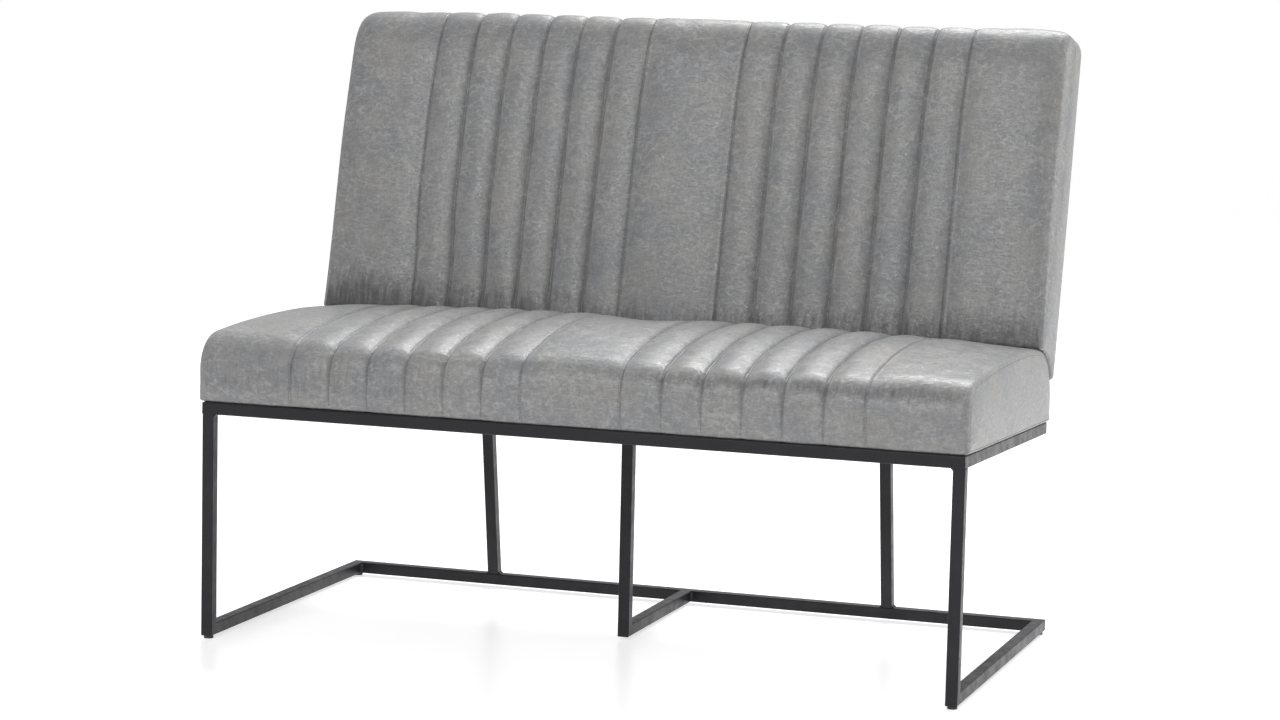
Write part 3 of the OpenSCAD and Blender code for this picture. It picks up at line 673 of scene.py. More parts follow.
seat_skin, seat_size, seat_ends = make_skin("seat_leather", seat_form, "seat_cover")
back_skin, back_size, back_ends = make_skin("back_leather", back_form, "back_cover")
print("points in the skins:", len(seat_skin.data.vertices), len(back_skin.data.vertices))

# %% [markdown]
# Under each cover lies foam on a board. It doesn't show, but the cover needs something real to rest
# on that never pokes through its grooves, so each block follows its cover's outline a finger's
# width further in. It is lofted as the covers are, with plain rounded ends.

# %% Foam under the covers
FOAM_DEPTH = 13 * MM
FOAM_END_R = 16 * MM
FOAM_PLACES, FOAM_POINTS, FLAT_POINTS, FINE_POINTS = 41, 60, 10, 500
FOAM_TURNS = (30, 60, 80)
BOARD_GAP = 1 * MM
PANEL_V = 58 * MM


def sampled(where, run, values):
    """Values along a path, read at other lengths along it."""
    return np.stack([np.interp(where, run, column) for column in values.T], axis=1)


def even_steps(points, count):
    """The same path with even steps."""
    run = run_of(points)
    return sampled(np.linspace(0, run[-1], count), run, points)


def foam_section(outline, x, keep, last_rows):
    """The outline moved inwards, cut off where it meets its board, with even steps."""
    points, _ = outline(x)
    points = np.roll(points - outward(points) * FOAM_DEPTH, last_rows, axis=0)
    fine = even_steps(points, FINE_POINTS)
    kept = even_steps(fine[keep(fine)], FOAM_POINTS)
    return np.concatenate([kept, straight(kept[-1], kept[0], FLAT_POINTS + 1)[1:]])


def foam_object(name, form, keep, last_rows, node):
    """A block of foam lofted between plain rounded ends."""
    half = soft_half - FOAM_DEPTH
    rings = [(x, foam_section(form["outline"], x, keep, last_rows))
             for x in np.linspace(-1, 1, FOAM_PLACES) * (half - FOAM_END_R)]
    for side in (-1, 1):
        edge = rings[0][1] if side < 0 else rings[-1][1]
        centre = edge.mean(axis=0)
        reach = np.linalg.norm(edge - centre, axis=1)[:, None]
        for angle in np.radians(FOAM_TURNS):
            x = side * (half - FOAM_END_R + FOAM_END_R * math.sin(angle))
            moved = edge + (centre - edge) / reach * FOAM_END_R * (1 - math.cos(angle))
            rings.insert(0 if side < 0 else len(rings), (x, moved))
    m = len(rings[0][1])
    points = np.concatenate([np.column_stack([np.full(m, x), yz]) for x, yz in rings])
    points[:, 1] += front_y
    last = (len(rings) - 1) * m
    faces = loft_faces(len(rings), m) + [list(range(m)), list(range(last, last + m))[::-1]]
    made = new_piece(name, points, faces)
    stand_for(node)
    print(name, "has", len(faces), "faces")
    return made


def over_board(points):
    """Which points lie over the tilted board."""
    return points[:, 1] > board_top - points[:, 0] * math.tan(SEAT_TILT) + BOARD_GAP


def before_panel(points):
    """Which points lie in front of the back's front panel."""
    y, z = points[:, 0] - bend_y, points[:, 1] - bend_z
    depth = y * math.cos(BACK_LEAN) - z * math.sin(BACK_LEAN)
    return depth + BRACKET_BACK_V < PANEL_V - BOARD_GAP


board_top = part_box("seat_board")[1][2]
seat_foam = foam_object("seat_foam_block", seat_form, over_board, SEAT_ROWS["under"], "seat_foam")
back_foam = foam_object("back_foam_block", back_form, before_panel, BACK_ROWS["foot"], "back_foam")

# %% [markdown]
# Leather over wadding bulges between its stitches and puckers along them. A cloth simulation finds
# that form: the seams and all hidden rows are pinned, the hide is cut a little too large, and
# pressure pushes it out. No point may move further than a cap, because the foam holds the shape.

# %% Blow up the covers
HIDE = dict(use_pressure=True, uniform_pressure_force=4.0, shrink_min=-0.012, quality=4,
            tension_stiffness=25, compression_stiffness=25, bending_stiffness=1.5)
SIM_FRAMES = 20
MOVE_CAP = 3.2 * MM
PIN_NEAR = 1.0 * MM
# The first and the last row that may move, and the passes that calm the moves.
SEAT_FREE = seat_row["front"], seat_row["rear"] + 4, 6
BACK_FREE = back_row["front"] + 1, back_row["rear"] + 30, 30


def pinned_points(mesh, first_row, last_row):
    """Points that stay: on a seam, on the ends, and outside the visible rows."""
    x, row, end = field(mesh, "across"), field(mesh, "row"), field(mesh, "end")
    on_seam = np.min(np.abs(x[:, None] - seams[None, :]), axis=1) < PIN_NEAR
    return on_seam | (row < first_row) | (row > last_row) | (end > 0.5)


def calmed(move, size, passes):
    """Smooth the moves of the grid's points along each column, and leave the rest."""
    grid = move[:size[0] * size[1]].reshape(size[0], size[1], 3)
    for _ in range(passes):
        grid = (np.roll(grid, 1, axis=1) + 2 * grid + np.roll(grid, -1, axis=1)) / 4
    return np.concatenate([grid.reshape(-1, 3), move[size[0] * size[1]:]])


def blow_up(piece, size, first_row, last_row, passes):
    """Run the cloth simulation on one cover and keep its smoothed and capped result."""
    mesh = piece.data
    group = piece.vertex_groups.new(name="pinned")
    group.add(np.nonzero(pinned_points(mesh, first_row, last_row))[0].tolist(), 1.0, "REPLACE")
    cloth = piece.modifiers.new("cloth", "CLOTH")
    cloth.settings.vertex_group_mass = group.name
    cloth.settings.effector_weights.gravity = 0
    for setting, value in HIDE.items():
        setattr(cloth.settings, setting, value)
    cloth.point_cache.frame_start, cloth.point_cache.frame_end = 1, SIM_FRAMES
    for frame_number in range(1, SIM_FRAMES + 1):
        bpy.context.scene.frame_set(frame_number)
    graph = bpy.context.evaluated_depsgraph_get()
    blown = piece.evaluated_get(graph).to_mesh()
    start, found = read(mesh.vertices, "co", 3), read(blown.vertices, "co", 3)
    piece.evaluated_get(graph).to_mesh_clear()
    move = calmed((found - start).reshape(-1, 3), size, passes)
    far = np.linalg.norm(move, axis=1)
    move *= (MOVE_CAP * np.tanh(far / MOVE_CAP) / np.maximum(far, 1e-9))[:, None]
    piece.modifiers.clear()
    piece.vertex_groups.clear()
    mesh.vertices.foreach_set("co", start + move.reshape(-1))
    mesh.update()
    bpy.context.scene.frame_set(1)
    print(piece.name, "wanted to move up to", round(far.max() / MM, 1), "mm")


blow_up(seat_skin, seat_size, *SEAT_FREE)
blow_up(back_skin, back_size, *BACK_FREE)

# %% [markdown]
# A seam is more than a groove. The hide creases sharply at the stitches, which pull puckers beside
# it, and a plain panel is sewn over its neighbour with a raised lap. The same step gives masks for
# the colour: painted shade with some grime in and beside the grooves, and a painted highlight on
# the right edge of each groove.

# %% Seams of the leather
# Each kind of seam has its crease's depth and width, its puckers' height and its dark line's width.
GROOVE_LINE = (1.7 * MM, 3.0 * MM, 0.45 * MM, 2.2 * MM)
FLAT_LINE = (1.105 * MM, 1.35 * MM, 0.225 * MM, 1.5 * MM)
SEAM_REACH = 40 * MM
LAP_HEIGHT, LAP_EDGE, LAP_W, LAP_FLAT = 0.8 * MM, 1.2 * MM, 7 * MM, 0.6
SIDE_SHIFT, SIDE_W, FLAT_SIDE_SHADE = 6 * MM, 7 * MM, 0.1
RIM_SHIFT, RIM_W = 4.2 * MM, 1.9 * MM
PUCKER_PITCH, PUCKER_REACH = 11 * MM, 9 * MM
# How dark the painted shade with some grime at the grooves is, and how bright the painted highlight
# beside them; both vary along each seam.
GROOVE_DARKNESS, GROOVE_DARKNESS_UNEVEN, GROOVE_DARKNESS_PITCH = 0.7, 0.3, 35 * MM
RIM_GLINT, RIM_GLINT_UNEVEN, RIM_GLINT_PITCH = 0.55, 0.6, 22 * MM


def plain_side_of(place):
    """1 or -1: on which side of a flat seam the plain panel lies."""
    outward_side = math.copysign(1, place)
    return outward_side if abs(place) > outer_seam - CHANNEL_W / 2 else -outward_side


def seam_moves(x, along, share, seed, side_shade):
    """Moves along the normal near the seams, a mask of painted shade with some grime at the grooves,
    and a painted highlight on their rims.
    """
    move, shade, rim_highlight = np.zeros_like(x), np.zeros_like(x), np.zeros_like(x)
    for number, place in enumerate(seams):
        d = x - place
        near = np.abs(d) < SEAM_REACH
        a, b, dn = along[near], share[near], d[near]
        flat = number in flat_seams
        depth, width, pucker, dark_w = FLAT_LINE if flat else GROOVE_LINE
        local = -depth * bell(dn, width) * smooth_step(0, 0.3, b)
        if flat:
            into_plain = dn * plain_side_of(place)
            lap = smooth_step(0, LAP_EDGE, into_plain)
            lap *= 1 - smooth_step(LAP_W * LAP_FLAT, LAP_W, into_plain)
            local += LAP_HEIGHT * lap * smooth_step(0, 0.2, b)
        wave = smooth_noise(a / PUCKER_PITCH, np.sign(dn) + number * 2.7, seed)
        wave *= np.exp(-np.abs(dn) / PUCKER_REACH)
        local += pucker * wave * smooth_step(0, 0.3, b)
        move[near] += local
        # A band of painted shade on the left side of each groove.
        band = (FLAT_SIDE_SHADE if flat else side_shade) * bell(dn + SIDE_SHIFT, SIDE_W)
        band *= smooth_step(0.2, 1.0, b)
        # The dark line and this band are painted shade in and beside the groove, with some grime that
        # varies along it.
        darkness = GROOVE_DARKNESS + GROOVE_DARKNESS_UNEVEN * smooth_noise(a / GROOVE_DARKNESS_PITCH, number * 3.1, seed + 5)
        dark = (bell(dn, dark_w) + band) * darkness * smooth_step(-0.3, 0.5, b)
        shade[near] = np.maximum(shade[near], dark)
        if not flat:
            # A painted highlight on the edge just right of each groove, uneven along it.
            lit = bell(dn - RIM_SHIFT, RIM_W) * smooth_step(0.2, 0.8, b)
            glint = RIM_GLINT + RIM_GLINT_UNEVEN * smooth_noise(a / RIM_GLINT_PITCH, number * 1.7, seed + 6)
            rim_highlight[near] = np.maximum(rim_highlight[near], lit * np.clip(glint, 0, 1))
    return move, np.clip(shade, 0, 1), rim_highlight


print("grooves:", len(seams) - len(flat_seams), "flat seams:", len(flat_seams))

# %% [markdown]
# Between its seams the hide isn't smooth either. The wadding lies in soft lumps, and the leather
# has slack folds where it bends over the seat's front. A dark reflection is painted on the seat's
# front just under its brow, and its left front is darker. Contact shade with smudges of grime is
# painted at the foot of the back. Each is a sum on the place across and the length along the hide.

# %% Lumps, folds, painted shade and grime
LUMPS = ((0.9 * MM, 75 * MM, 90 * MM), (0.35 * MM, 24 * MM, 28 * MM))
FOLD, FOLD_WIDTH, FOLD_PITCH = 0.35 * MM, 46 * MM, 7 * MM
FOLD_SWAY, FOLD_BEND = 0.6, 30 * MM
# Where the back's foot is painted darker: contact shade with smudges of grime.
FOOT_DARK_REACH, FOOT_DARK_MORE, FOOT_DARK_UNEVEN = 62 * MM, 34 * MM, 9 * MM
FOOT_DARK_PITCH, FOOT_DARK_SEED = 45 * MM, 41
INNER_FOOT_DARK, OUTER_FOOT_DARK, LEFT_FOOT_DARK = 0.65, 0.35, 1.25
# A painted dark reflection in a band under the seat's brow, and how much darker its left front is.
BROW_SHADE_BAND, BROW_SHADE_BAND_W, BROW_SHADE_DARK, LEFT_FRONT_DARK = 97 * MM, 17 * MM, 0.42, 0.25
# Where the painted dark band grows and where the darker left part ends across the bench, and where
# this part starts and stops along the hide.
BROW_SHADE_ACROSS, LEFT_FRONT_ACROSS = (-150 * MM, 250 * MM), (-300 * MM, 0)
LEFT_FRONT_START, LEFT_FRONT_STOP = (10 * MM, 40 * MM), (80 * MM, 115 * MM)


def uneven(x, along, seed):
    """The soft unevenness of wadding, in lumps of two heights, widths and lengths."""
    return sum(height * smooth_noise(x / width, along / length, seed + number)
               for number, (height, width, length) in enumerate(LUMPS))


def seat_folds(x, row):
    """Slack folds lie over the round front, most of all on the plain middle panel."""
    start, stop = seat_row["front"] + 2, seat_row["rise"] + 8
    zone = smooth_step(start, start + 6, row) * (1 - smooth_step(stop - 6, stop, row))
    return zone * (0.5 + 0.5 * (np.abs(x) < MIDDLE_HALF))


def back_folds(x, row):
    """The back is taut, with faint folds just above the seat."""
    start = back_row["front"]
    return 0.5 * smooth_step(start, start + 3, row) * (1 - smooth_step(start + 6, start + 18, row))


def foot_shade_and_soil(x, along):
    """Painted contact shade with smudges of grime at the foot of the back, most of all towards its
    ends.
    """
    outer = np.abs(x) / soft_half * np.where(x < 0, LEFT_FOOT_DARK, 1)
    ragged = smooth_noise(x / FOOT_DARK_PITCH, 0.5, FOOT_DARK_SEED)
    reach = FOOT_DARK_REACH + FOOT_DARK_MORE * outer + FOOT_DARK_UNEVEN * ragged
    return (INNER_FOOT_DARK + OUTER_FOOT_DARK * outer) * np.clip(1 - along / reach, 0, 1)


def brow_shade(x, along):
    """A painted dark reflection on the seat's front just under the brow, and the front darker at the
    left.
    """
    band = bell(along - BROW_SHADE_BAND, BROW_SHADE_BAND_W) * smooth_step(*BROW_SHADE_ACROSS, x)
    front = smooth_step(*LEFT_FRONT_START, along) * (1 - smooth_step(*LEFT_FRONT_STOP, along))
    return BROW_SHADE_DARK * band + LEFT_FRONT_DARK * front * (1 - smooth_step(*LEFT_FRONT_ACROSS, x))


print("dirt at the middle of the back's foot:", round(float(foot_shade_and_soil(np.zeros(1), 0)[0]), 2))

# %% [markdown]
# One subdivision doubles the grid. Then every point moves a little along its normal by the seams,
# folds and lumps, and the masks are kept as fields of the mesh, where the leather finds them.

# %% Fine shape of the leather
def surface(mesh):
    """The points of a mesh and the normals at them."""
    points, normals = read(mesh.vertices, "co", 3), read(mesh.vertex_normals, "vector", 3)
    return points.reshape(-1, 3), normals.reshape(-1, 3)


def subdivided(piece):
    """Give the piece its own mesh after one subdivision; the coarse points stay first."""
    modifier = piece.modifiers.new("subdivision", "SUBSURF")
    modifier.levels = modifier.render_levels = 1
    bpy.context.view_layer.update()
    graph = bpy.context.evaluated_depsgraph_get()
    fine = bpy.data.meshes.new_from_object(
        piece.evaluated_get(graph), preserve_all_data_layers=True, depsgraph=graph)
    piece.modifiers.clear()
    old, piece.data = piece.data, fine
    bpy.data.meshes.remove(old)
    fine.name = piece.name
    fine.shade_smooth()


def shape_leather(piece, seed, fold_zone, soil_and_shade_mask, line, end_line, side_shade):
    """Fine shape of one cover: fold_zone says where slack folds lie, the mask after it where shade
    and grime are painted, and line, end_line and side_shade how dark its grooves, end seams and the
    painted shade beside its grooves are."""
    subdivided(piece)
    mesh = piece.data
    points, normals = surface(mesh)
    names = ("across", "along", "share", "row", "end", "end_seam")
    x, along, share, row, end, end_seam = (field(mesh, name) for name in names)
    seam_move, shade, rim_highlight = seam_moves(x, along, share, seed, side_shade)
    soft = smooth_step(0, 0.25, share)
    bent = FOLD_SWAY * smooth_noise(x / FOLD_BEND, along / FOLD_BEND, seed + 2)
    folds = smooth_noise(x / FOLD_WIDTH + bent, along / FOLD_PITCH, seed + 3)
    move = seam_move + uneven(x, along, seed) * (0.3 + 0.7 * soft)
    move += FOLD * folds * fold_zone(x, row)
    move *= 1 - smooth_step(0, 0.5, end)
    points += normals * move[:, None]
    mesh.vertices.foreach_set("co", points.reshape(-1))
    # The groove mask holds painted shade with some grime, the next one a painted highlight, and the
    # last painted shade, a dark reflection and grime.
    set_field(mesh, "groove", np.maximum(line * shade * (1 - end), end_line * end_seam))
    set_field(mesh, "rim_highlight", rim_highlight * (1 - end))
    set_field(mesh, "soil_and_shade", soil_and_shade_mask(x, along) * (1 - smooth_step(0.2, 0.9, end)))
    mesh.update()
    return move


moves = [
    shape_leather(seat_skin, 11, seat_folds, brow_shade, line=1.0, end_line=0.8, side_shade=0.5),
    shape_leather(back_skin, 23, back_folds, foot_shade_and_soil, line=0.85, end_line=0.3, side_shade=0.2),
]
print("fine moves in mm:", [(round(m.min() / MM, 2), round(m.max() / MM, 2)) for m in moves])

# %% [markdown]
# The thread shows as short stitches: along each groove, and in a row beside the flat seams, where
# the plain panel is sewn down over its neighbour. Each stitch is a small capsule that dips into the
# leather at both ends, so that it catches light as thread does.

# %% Stitches
STITCH_PITCH = 5 * MM
STITCH_LENGTH = 3.7 * MM
STITCH_THICKNESS = 0.9 * MM
STITCH_SIDES = 6
STITCH_SHAPE = (
    (-0.5, 0.35, -0.45), (-0.36, 0.85, 0.0), (0.0, 1.0, 0.15), (0.36, 0.85, 0.0),
    (0.5, 0.35, -0.45))
AIM_STEP = 2 * MM
TOPSTITCH_STEP = 2


def stitch_places(points, normals, start):
    """Centres, directions and normals of the stitches along a path."""
    run = run_of(points)
    at = np.arange(start, run[-1] - STITCH_PITCH, STITCH_PITCH)
    centre, normal = sampled(at, run, points), sampled(at, run, normals)
    along = sampled(at + AIM_STEP, run, points) - sampled(at - AIM_STEP, run, points)
    along /= np.linalg.norm(along, axis=1)[:, None]
    normal -= along * np.sum(along * normal, axis=1)[:, None]
    return centre, along, normal / np.linalg.norm(normal, axis=1)[:, None]


def stitch_object(name, centre, along, normal):
    """All stitches of a cover as one mesh of capsules."""
    side = np.cross(along, normal)
    turns = np.arange(STITCH_SIDES) * 2 * math.pi / STITCH_SIDES
    rings = []
    for shift, width, lift in STITCH_SHAPE:
        r = STITCH_THICKNESS / 2 * width
        middle = centre + along * shift * STITCH_LENGTH + normal * lift * STITCH_THICKNESS
        ring = [middle + r * (math.cos(t) * normal + math.sin(t) * side) for t in turns]
        rings.append(np.stack(ring, axis=1))
    points = np.stack(rings, axis=1)
    per_stitch = len(STITCH_SHAPE) * STITCH_SIDES
    one = [[face[0]] + face[:0:-1] for face in loft_faces(len(STITCH_SHAPE), STITCH_SIDES)]
    one.append(list(range(STITCH_SIDES))[::-1])
    one.append(list(range(per_stitch - STITCH_SIDES, per_stitch)))
    faces = [[i * per_stitch + v for v in face] for i in range(len(centre)) for face in one]
    return new_piece(name, points.reshape(-1, 3), faces)


def sew(piece, name, size, ends, first_row, last_row):
    """Sew one cover: a row of stitches for each seam, between two rows of its grid."""
    points, normals = surface(piece.data)
    parts = []
    for number, place in enumerate(seams):
        column = ends + int(np.argmin(np.abs(across - place)))
        if number in flat_seams:
            column += int(plain_side_of(place)) * TOPSTITCH_STEP
        picks = column * size[1] + np.arange(first_row, last_row + 1)
        parts.append(stitch_places(points[picks], normals[picks], start=(2 + number % 3) * MM))
    centre, along, normal = (np.concatenate(list(part)) for part in zip(*parts))
    made = stitch_object(name, centre, along, normal)
    print(name, "has", len(centre), "stitches")
    return made


seat_thread = sew(seat_skin, "seat_stitches", seat_size, seat_ends,
                  seat_row["front"], seat_row["descent"] + 20)
back_thread = sew(back_skin, "back_stitches", back_size, back_ends,
                  back_row["front"] + 1, back_row["rear_edge"])

# %% [markdown]
# Materials are built from nodes. Small helpers keep the cells short: they add a node and join its
# inputs, do sums, mix colours and start a node group. A group holds an effect that can be placed
# again with other sizes, and puts out only masks and heights. The shader stays in each material.

# %% Helpers for nodes
def add(tree, kind, inputs=None, **settings):
    """Add a node; each input takes a plain value or the output of another node."""
    node = tree.nodes.new(kind)
    for name, value in settings.items():
        setattr(node, name, value)
    for key, value in (inputs or {}).items():
        if isinstance(value, bpy.types.NodeSocket):
            tree.links.new(value, node.inputs[key])
        else:
            node.inputs[key].default_value = value
    return node


def sums(tree, operation, *values):
    return add(tree, "ShaderNodeMath", dict(enumerate(values)), operation=operation).outputs[0]


def times(tree, first, second):
    return sums(tree, "MULTIPLY", first, second)


def noise(tree, place, scale, detail=2.0, roughness=0.5, distortion=0.0):
    inputs = {"Vector": place, "Scale": scale, "Detail": detail, "Roughness": roughness,
              "Distortion": distortion}
    return add(tree, "ShaderNodeTexNoise", inputs).outputs["Fac"]


def remap(tree, value, low, high, new_low=0.0, new_high=1.0):
    """Map values from low to high smoothly onto new ones, such as a noise onto a mask."""
    inputs = {"Value": value, "From Min": low, "From Max": high, "To Min": new_low,
              "To Max": new_high}
    node = add(tree, "ShaderNodeMapRange", inputs, interpolation_type="SMOOTHSTEP")
    return node.outputs["Result"]


def mixed(tree, factor, first, second, how="MIX"):
    """Mix two colours, by a plain value or by the output of another node."""
    node = tree.nodes.new("ShaderNodeMix")
    node.data_type, node.blend_type = "RGBA", how
    for slot, value in ((0, factor), (6, first), (7, second)):
        if isinstance(value, bpy.types.NodeSocket):
            tree.links.new(value, node.inputs[slot])
        else:
            node.inputs[slot].default_value = value
    return node.outputs[2]


def stretched(tree, place, scale):
    return add(tree, "ShaderNodeMapping", {"Vector": place, "Scale": scale}).outputs["Vector"]


def join(tree, inputs, **outputs):
    """Join each output to the input of that name."""
    for label, value in outputs.items():
        tree.links.new(value, inputs[label.replace("_", " ")])


def start_group(name, inputs, outputs):
    """A node group with number inputs, a place input and number outputs."""
    tree = bpy.data.node_groups.new(name, "ShaderNodeTree")
    tree.interface.new_socket("Place", in_out="INPUT", socket_type="NodeSocketVector")
    for label, value in inputs.items():
        socket = tree.interface.new_socket(label, in_out="INPUT", socket_type="NodeSocketFloat")
        socket.default_value = value
    for label in outputs:
        tree.interface.new_socket(label, in_out="OUTPUT", socket_type="NodeSocketFloat")
    entry = tree.nodes.new("NodeGroupInput").outputs
    return tree, entry, entry["Place"], tree.nodes.new("NodeGroupOutput").inputs


def use_group(tree, group, place, **values):
    node = add(tree, "ShaderNodeGroup", node_tree=group)
    tree.links.new(place, node.inputs["Place"])
    for label, value in values.items():
        node.inputs[label.replace("_", " ")].default_value = value
    return node.outputs


def new_material(name, **shader):
    """A material with its Principled shader, and the place of a point in the piece."""
    material = bpy.data.materials.new(name)
    material.use_nodes = True
    tree = material.node_tree
    principled = tree.nodes["Principled BSDF"]
    for label, value in shader.items():
        principled.inputs[label.replace("_", " ")].default_value = value
    place = tree.nodes.new("ShaderNodeTexCoord").outputs["Object"]
    return material, tree, principled.inputs, place


def bump(tree, height, distance, strength=1.0, normal=None):
    inputs = {"Height": height, "Distance": distance, "Strength": strength}
    if normal is not None:
        inputs["Normal"] = normal
    return add(tree, "ShaderNodeBump", inputs).outputs["Normal"]


# %% [markdown]
# Five effects are groups. Mottle gives most finishes their soft clouds, and fine grain the pebbles
# of hide, powder, foam and nylon. Crackle is placed twice in the leather, as pale veins and as
# finer creases, and fibres are its streaks. Edge wear rubs the steel's corners. Each has named
# inputs, so that a material sets only its own sizes and amounts.

# %% Effects in groups
def make_mottle():
    """Soft irregular clouds of two sizes, as in hides, coats of powder and foam."""
    tree, entry, place, out = start_group("mottle", {"Patch Size": 0.06}, ["Patches", "Blotches"])
    scale = sums(tree, "DIVIDE", 1.0, entry["Patch Size"])
    large = noise(tree, place, scale, 3.0, 0.55, 0.4)
    medium = noise(tree, place, times(tree, scale, 3.7), 6.0, 0.62, 0.5)
    join(tree, out, Patches=remap(tree, large, 0.3, 0.7), Blotches=remap(tree, medium, 0.33, 0.67))
    return tree


def make_fine_grain():
    """A fine even grain: pebbled cells and pores of a given size."""
    tree, entry, place, out = start_group("fine_grain", {"Cell Size": 0.0012}, ["Height"])
    scale = sums(tree, "DIVIDE", 1.0, entry["Cell Size"])
    cells = add(tree, "ShaderNodeTexVoronoi", {"Vector": place, "Scale": scale})
    pores, rough = times(tree, cells.outputs["Distance"], 0.5), noise(tree, place, scale, 2.0)
    join(tree, out, Height=sums(tree, "SUBTRACT", times(tree, rough, 0.6), pores))
    return tree


def vectors(tree, operation, inputs):
    return add(tree, "ShaderNodeVectorMath", inputs, operation=operation).outputs


def shifted(tree, place, scale, reach):
    """The place moved about by a coloured noise, so that straight cell edges turn wavy."""
    clouds = add(tree, "ShaderNodeTexNoise", {"Vector": place, "Scale": scale, "Detail": 2.0})
    centred = vectors(tree, "SUBTRACT", {0: clouds.outputs["Color"], 1: (0.5, 0.5, 0.5)})[0]
    moved = vectors(tree, "SCALE", {0: centred, "Scale": reach})[0]
    return vectors(tree, "ADD", {0: place, 1: moved})[0]


def make_crackle():
    """Pale wavy veins in patches, where the hide's finish has cracked along its creases."""
    inputs = {"Vein Size": 0.02, "Vein Width": 0.05, "Amount": 0.5}
    tree, entry, place, out = start_group("crackle", inputs, ["Veins"])
    scale = sums(tree, "DIVIDE", 1.0, entry["Vein Size"])
    wide = stretched(tree, place, (0.42, 1.0, 1.0))
    reach = times(tree, entry["Vein Size"], 0.75)
    wavy = shifted(tree, wide, times(tree, scale, 1.1), reach)
    cells = add(tree, "ShaderNodeTexVoronoi", {"Vector": wavy, "Scale": scale},
                feature="DISTANCE_TO_EDGE")
    away = sums(tree, "DIVIDE", cells.outputs["Distance"], entry["Vein Width"])
    line = remap(tree, away, 0.0, 1.0, 1.0, 0.0)
    breaks = noise(tree, place, times(tree, scale, 1.6), 2.0)
    pieces = remap(tree, breaks, 0.42, 0.6)
    limit = sums(tree, "SUBTRACT", 0.66, times(tree, entry["Amount"], 0.3))
    cover = noise(tree, place, 11.0, 3.0, 0.6)
    shown = remap(tree, sums(tree, "SUBTRACT", cover, limit), -0.04, 0.12)
    join(tree, out, Veins=times(tree, times(tree, line, pieces), shown))
    return tree


def make_fibres():
    """Fine streaks that run along and across a hide, like the nap of brushed leather."""
    tree, entry, place, out = start_group("fibres", {"Fibre Size": 0.003}, ["Level", "Upright"])
    scale = sums(tree, "DIVIDE", 1.0, entry["Fibre Size"])
    for label, stretch in (("Level", (0.28, 1.0, 1.0)), ("Upright", (1.0, 0.5, 0.25))):
        streaks = noise(tree, stretched(tree, place, stretch), scale, 3.0, 0.6, 0.6)
        tree.links.new(remap(tree, streaks, 0.3, 0.7), out[label])
    return tree


def make_edge_wear():
    """A mask along sharp edges, broken up by noise, where a coat rubs through."""
    inputs = {"Width": 0.0015, "Amount": 0.5}
    tree, entry, place, out = start_group("edge_wear", inputs, ["Wear"])
    soft = add(tree, "ShaderNodeBevel", {"Radius": entry["Width"]}, samples=6).outputs["Normal"]
    true = tree.nodes.new("ShaderNodeNewGeometry").outputs["Normal"]
    same = vectors(tree, "DOT_PRODUCT", {0: soft, 1: true})["Value"]
    edge = remap(tree, same, 0.9, 0.995, 1.0, 0.0)
    breaks = remap(tree, noise(tree, place, 120.0, 4.0, 0.65), 0.45, 0.7)
    join(tree, out, Wear=times(tree, times(tree, edge, breaks), entry["Amount"]))
    return tree


mottle, fine_grain, crackle = make_mottle(), make_fine_grain(), make_crackle()
fibres, edge_wear = make_fibres(), make_edge_wear()
print("node groups:", [group.name for group in bpy.data.node_groups])

# %% [markdown]
# Distressed leather is not one grey. Its dye lies in faint cool and warm clouds with fine streaks.
# It is painted darker in and beside the grooves, for shade with some grime, and paler on the grooves'
# edges, a painted highlight. A dark reflection is painted under the seat's brow, and contact shade
# with smudges of grime at the back's foot. Pale veins show where the finish has cracked. The meshes
# carry the masks of the grooves, their edges and the dark parts, because these follow the shape.

# %% Leather
LEATHER_COOL = (0.290, 0.294, 0.304, 1)
LEATHER_WARM = (0.306, 0.301, 0.296, 1)
# The pale grey serves the real veins and the painted highlight beside the grooves; the dark grey is
# painted shade, with some grime.
PALE_VEIN_AND_HIGHLIGHT = (0.52, 0.52, 0.51, 1)
SHADE_AND_DIRT_GREY = (0.07, 0.07, 0.072, 1)


def grey(tree, value):
    return add(tree, "ShaderNodeCombineColor", {0: value, 1: value, 2: value}).outputs[0]


def painted(tree, name):
    """A mask that the mesh carries as a field."""
    return add(tree, "ShaderNodeAttribute", attribute_name=name).outputs["Fac"]


def worn_colour(tree, cloud, fine, streaks):
    """The dye's two greys, each patch of it darkened or lightened between two factors."""
    colour = mixed(tree, cloud["Patches"], LEATHER_COOL, LEATHER_WARM)
    for mask, low, high in (
            (cloud["Patches"], 0.96, 1.04), (cloud["Blotches"], 0.93, 1.06),
            (fine["Blotches"], 0.93, 1.07), (streaks["Level"], 0.93, 1.07),
            (streaks["Upright"], 0.95, 1.05)):
        factor = grey(tree, remap(tree, mask, 0.0, 1.0, low, high))
        colour = mixed(tree, 1.0, colour, factor, "MULTIPLY")
    return colour


def soil_and_shade(tree, place):
    """Painted darkening where the mesh is marked: shade, a dark reflection and grime, broken up by
    upright smudges.
    """
    marked = painted(tree, "soil_and_shade")
    smudge = noise(tree, stretched(tree, place, (1.0, 0.22, 0.22)), 120.0, 5.0, 0.68)
    shade_and_dirt = remap(tree, sums(tree, "ADD", marked, times(tree, smudge, 1.5)), 0.8, 1.75)
    return times(tree, shade_and_dirt, remap(tree, marked, 0.0, 0.35))


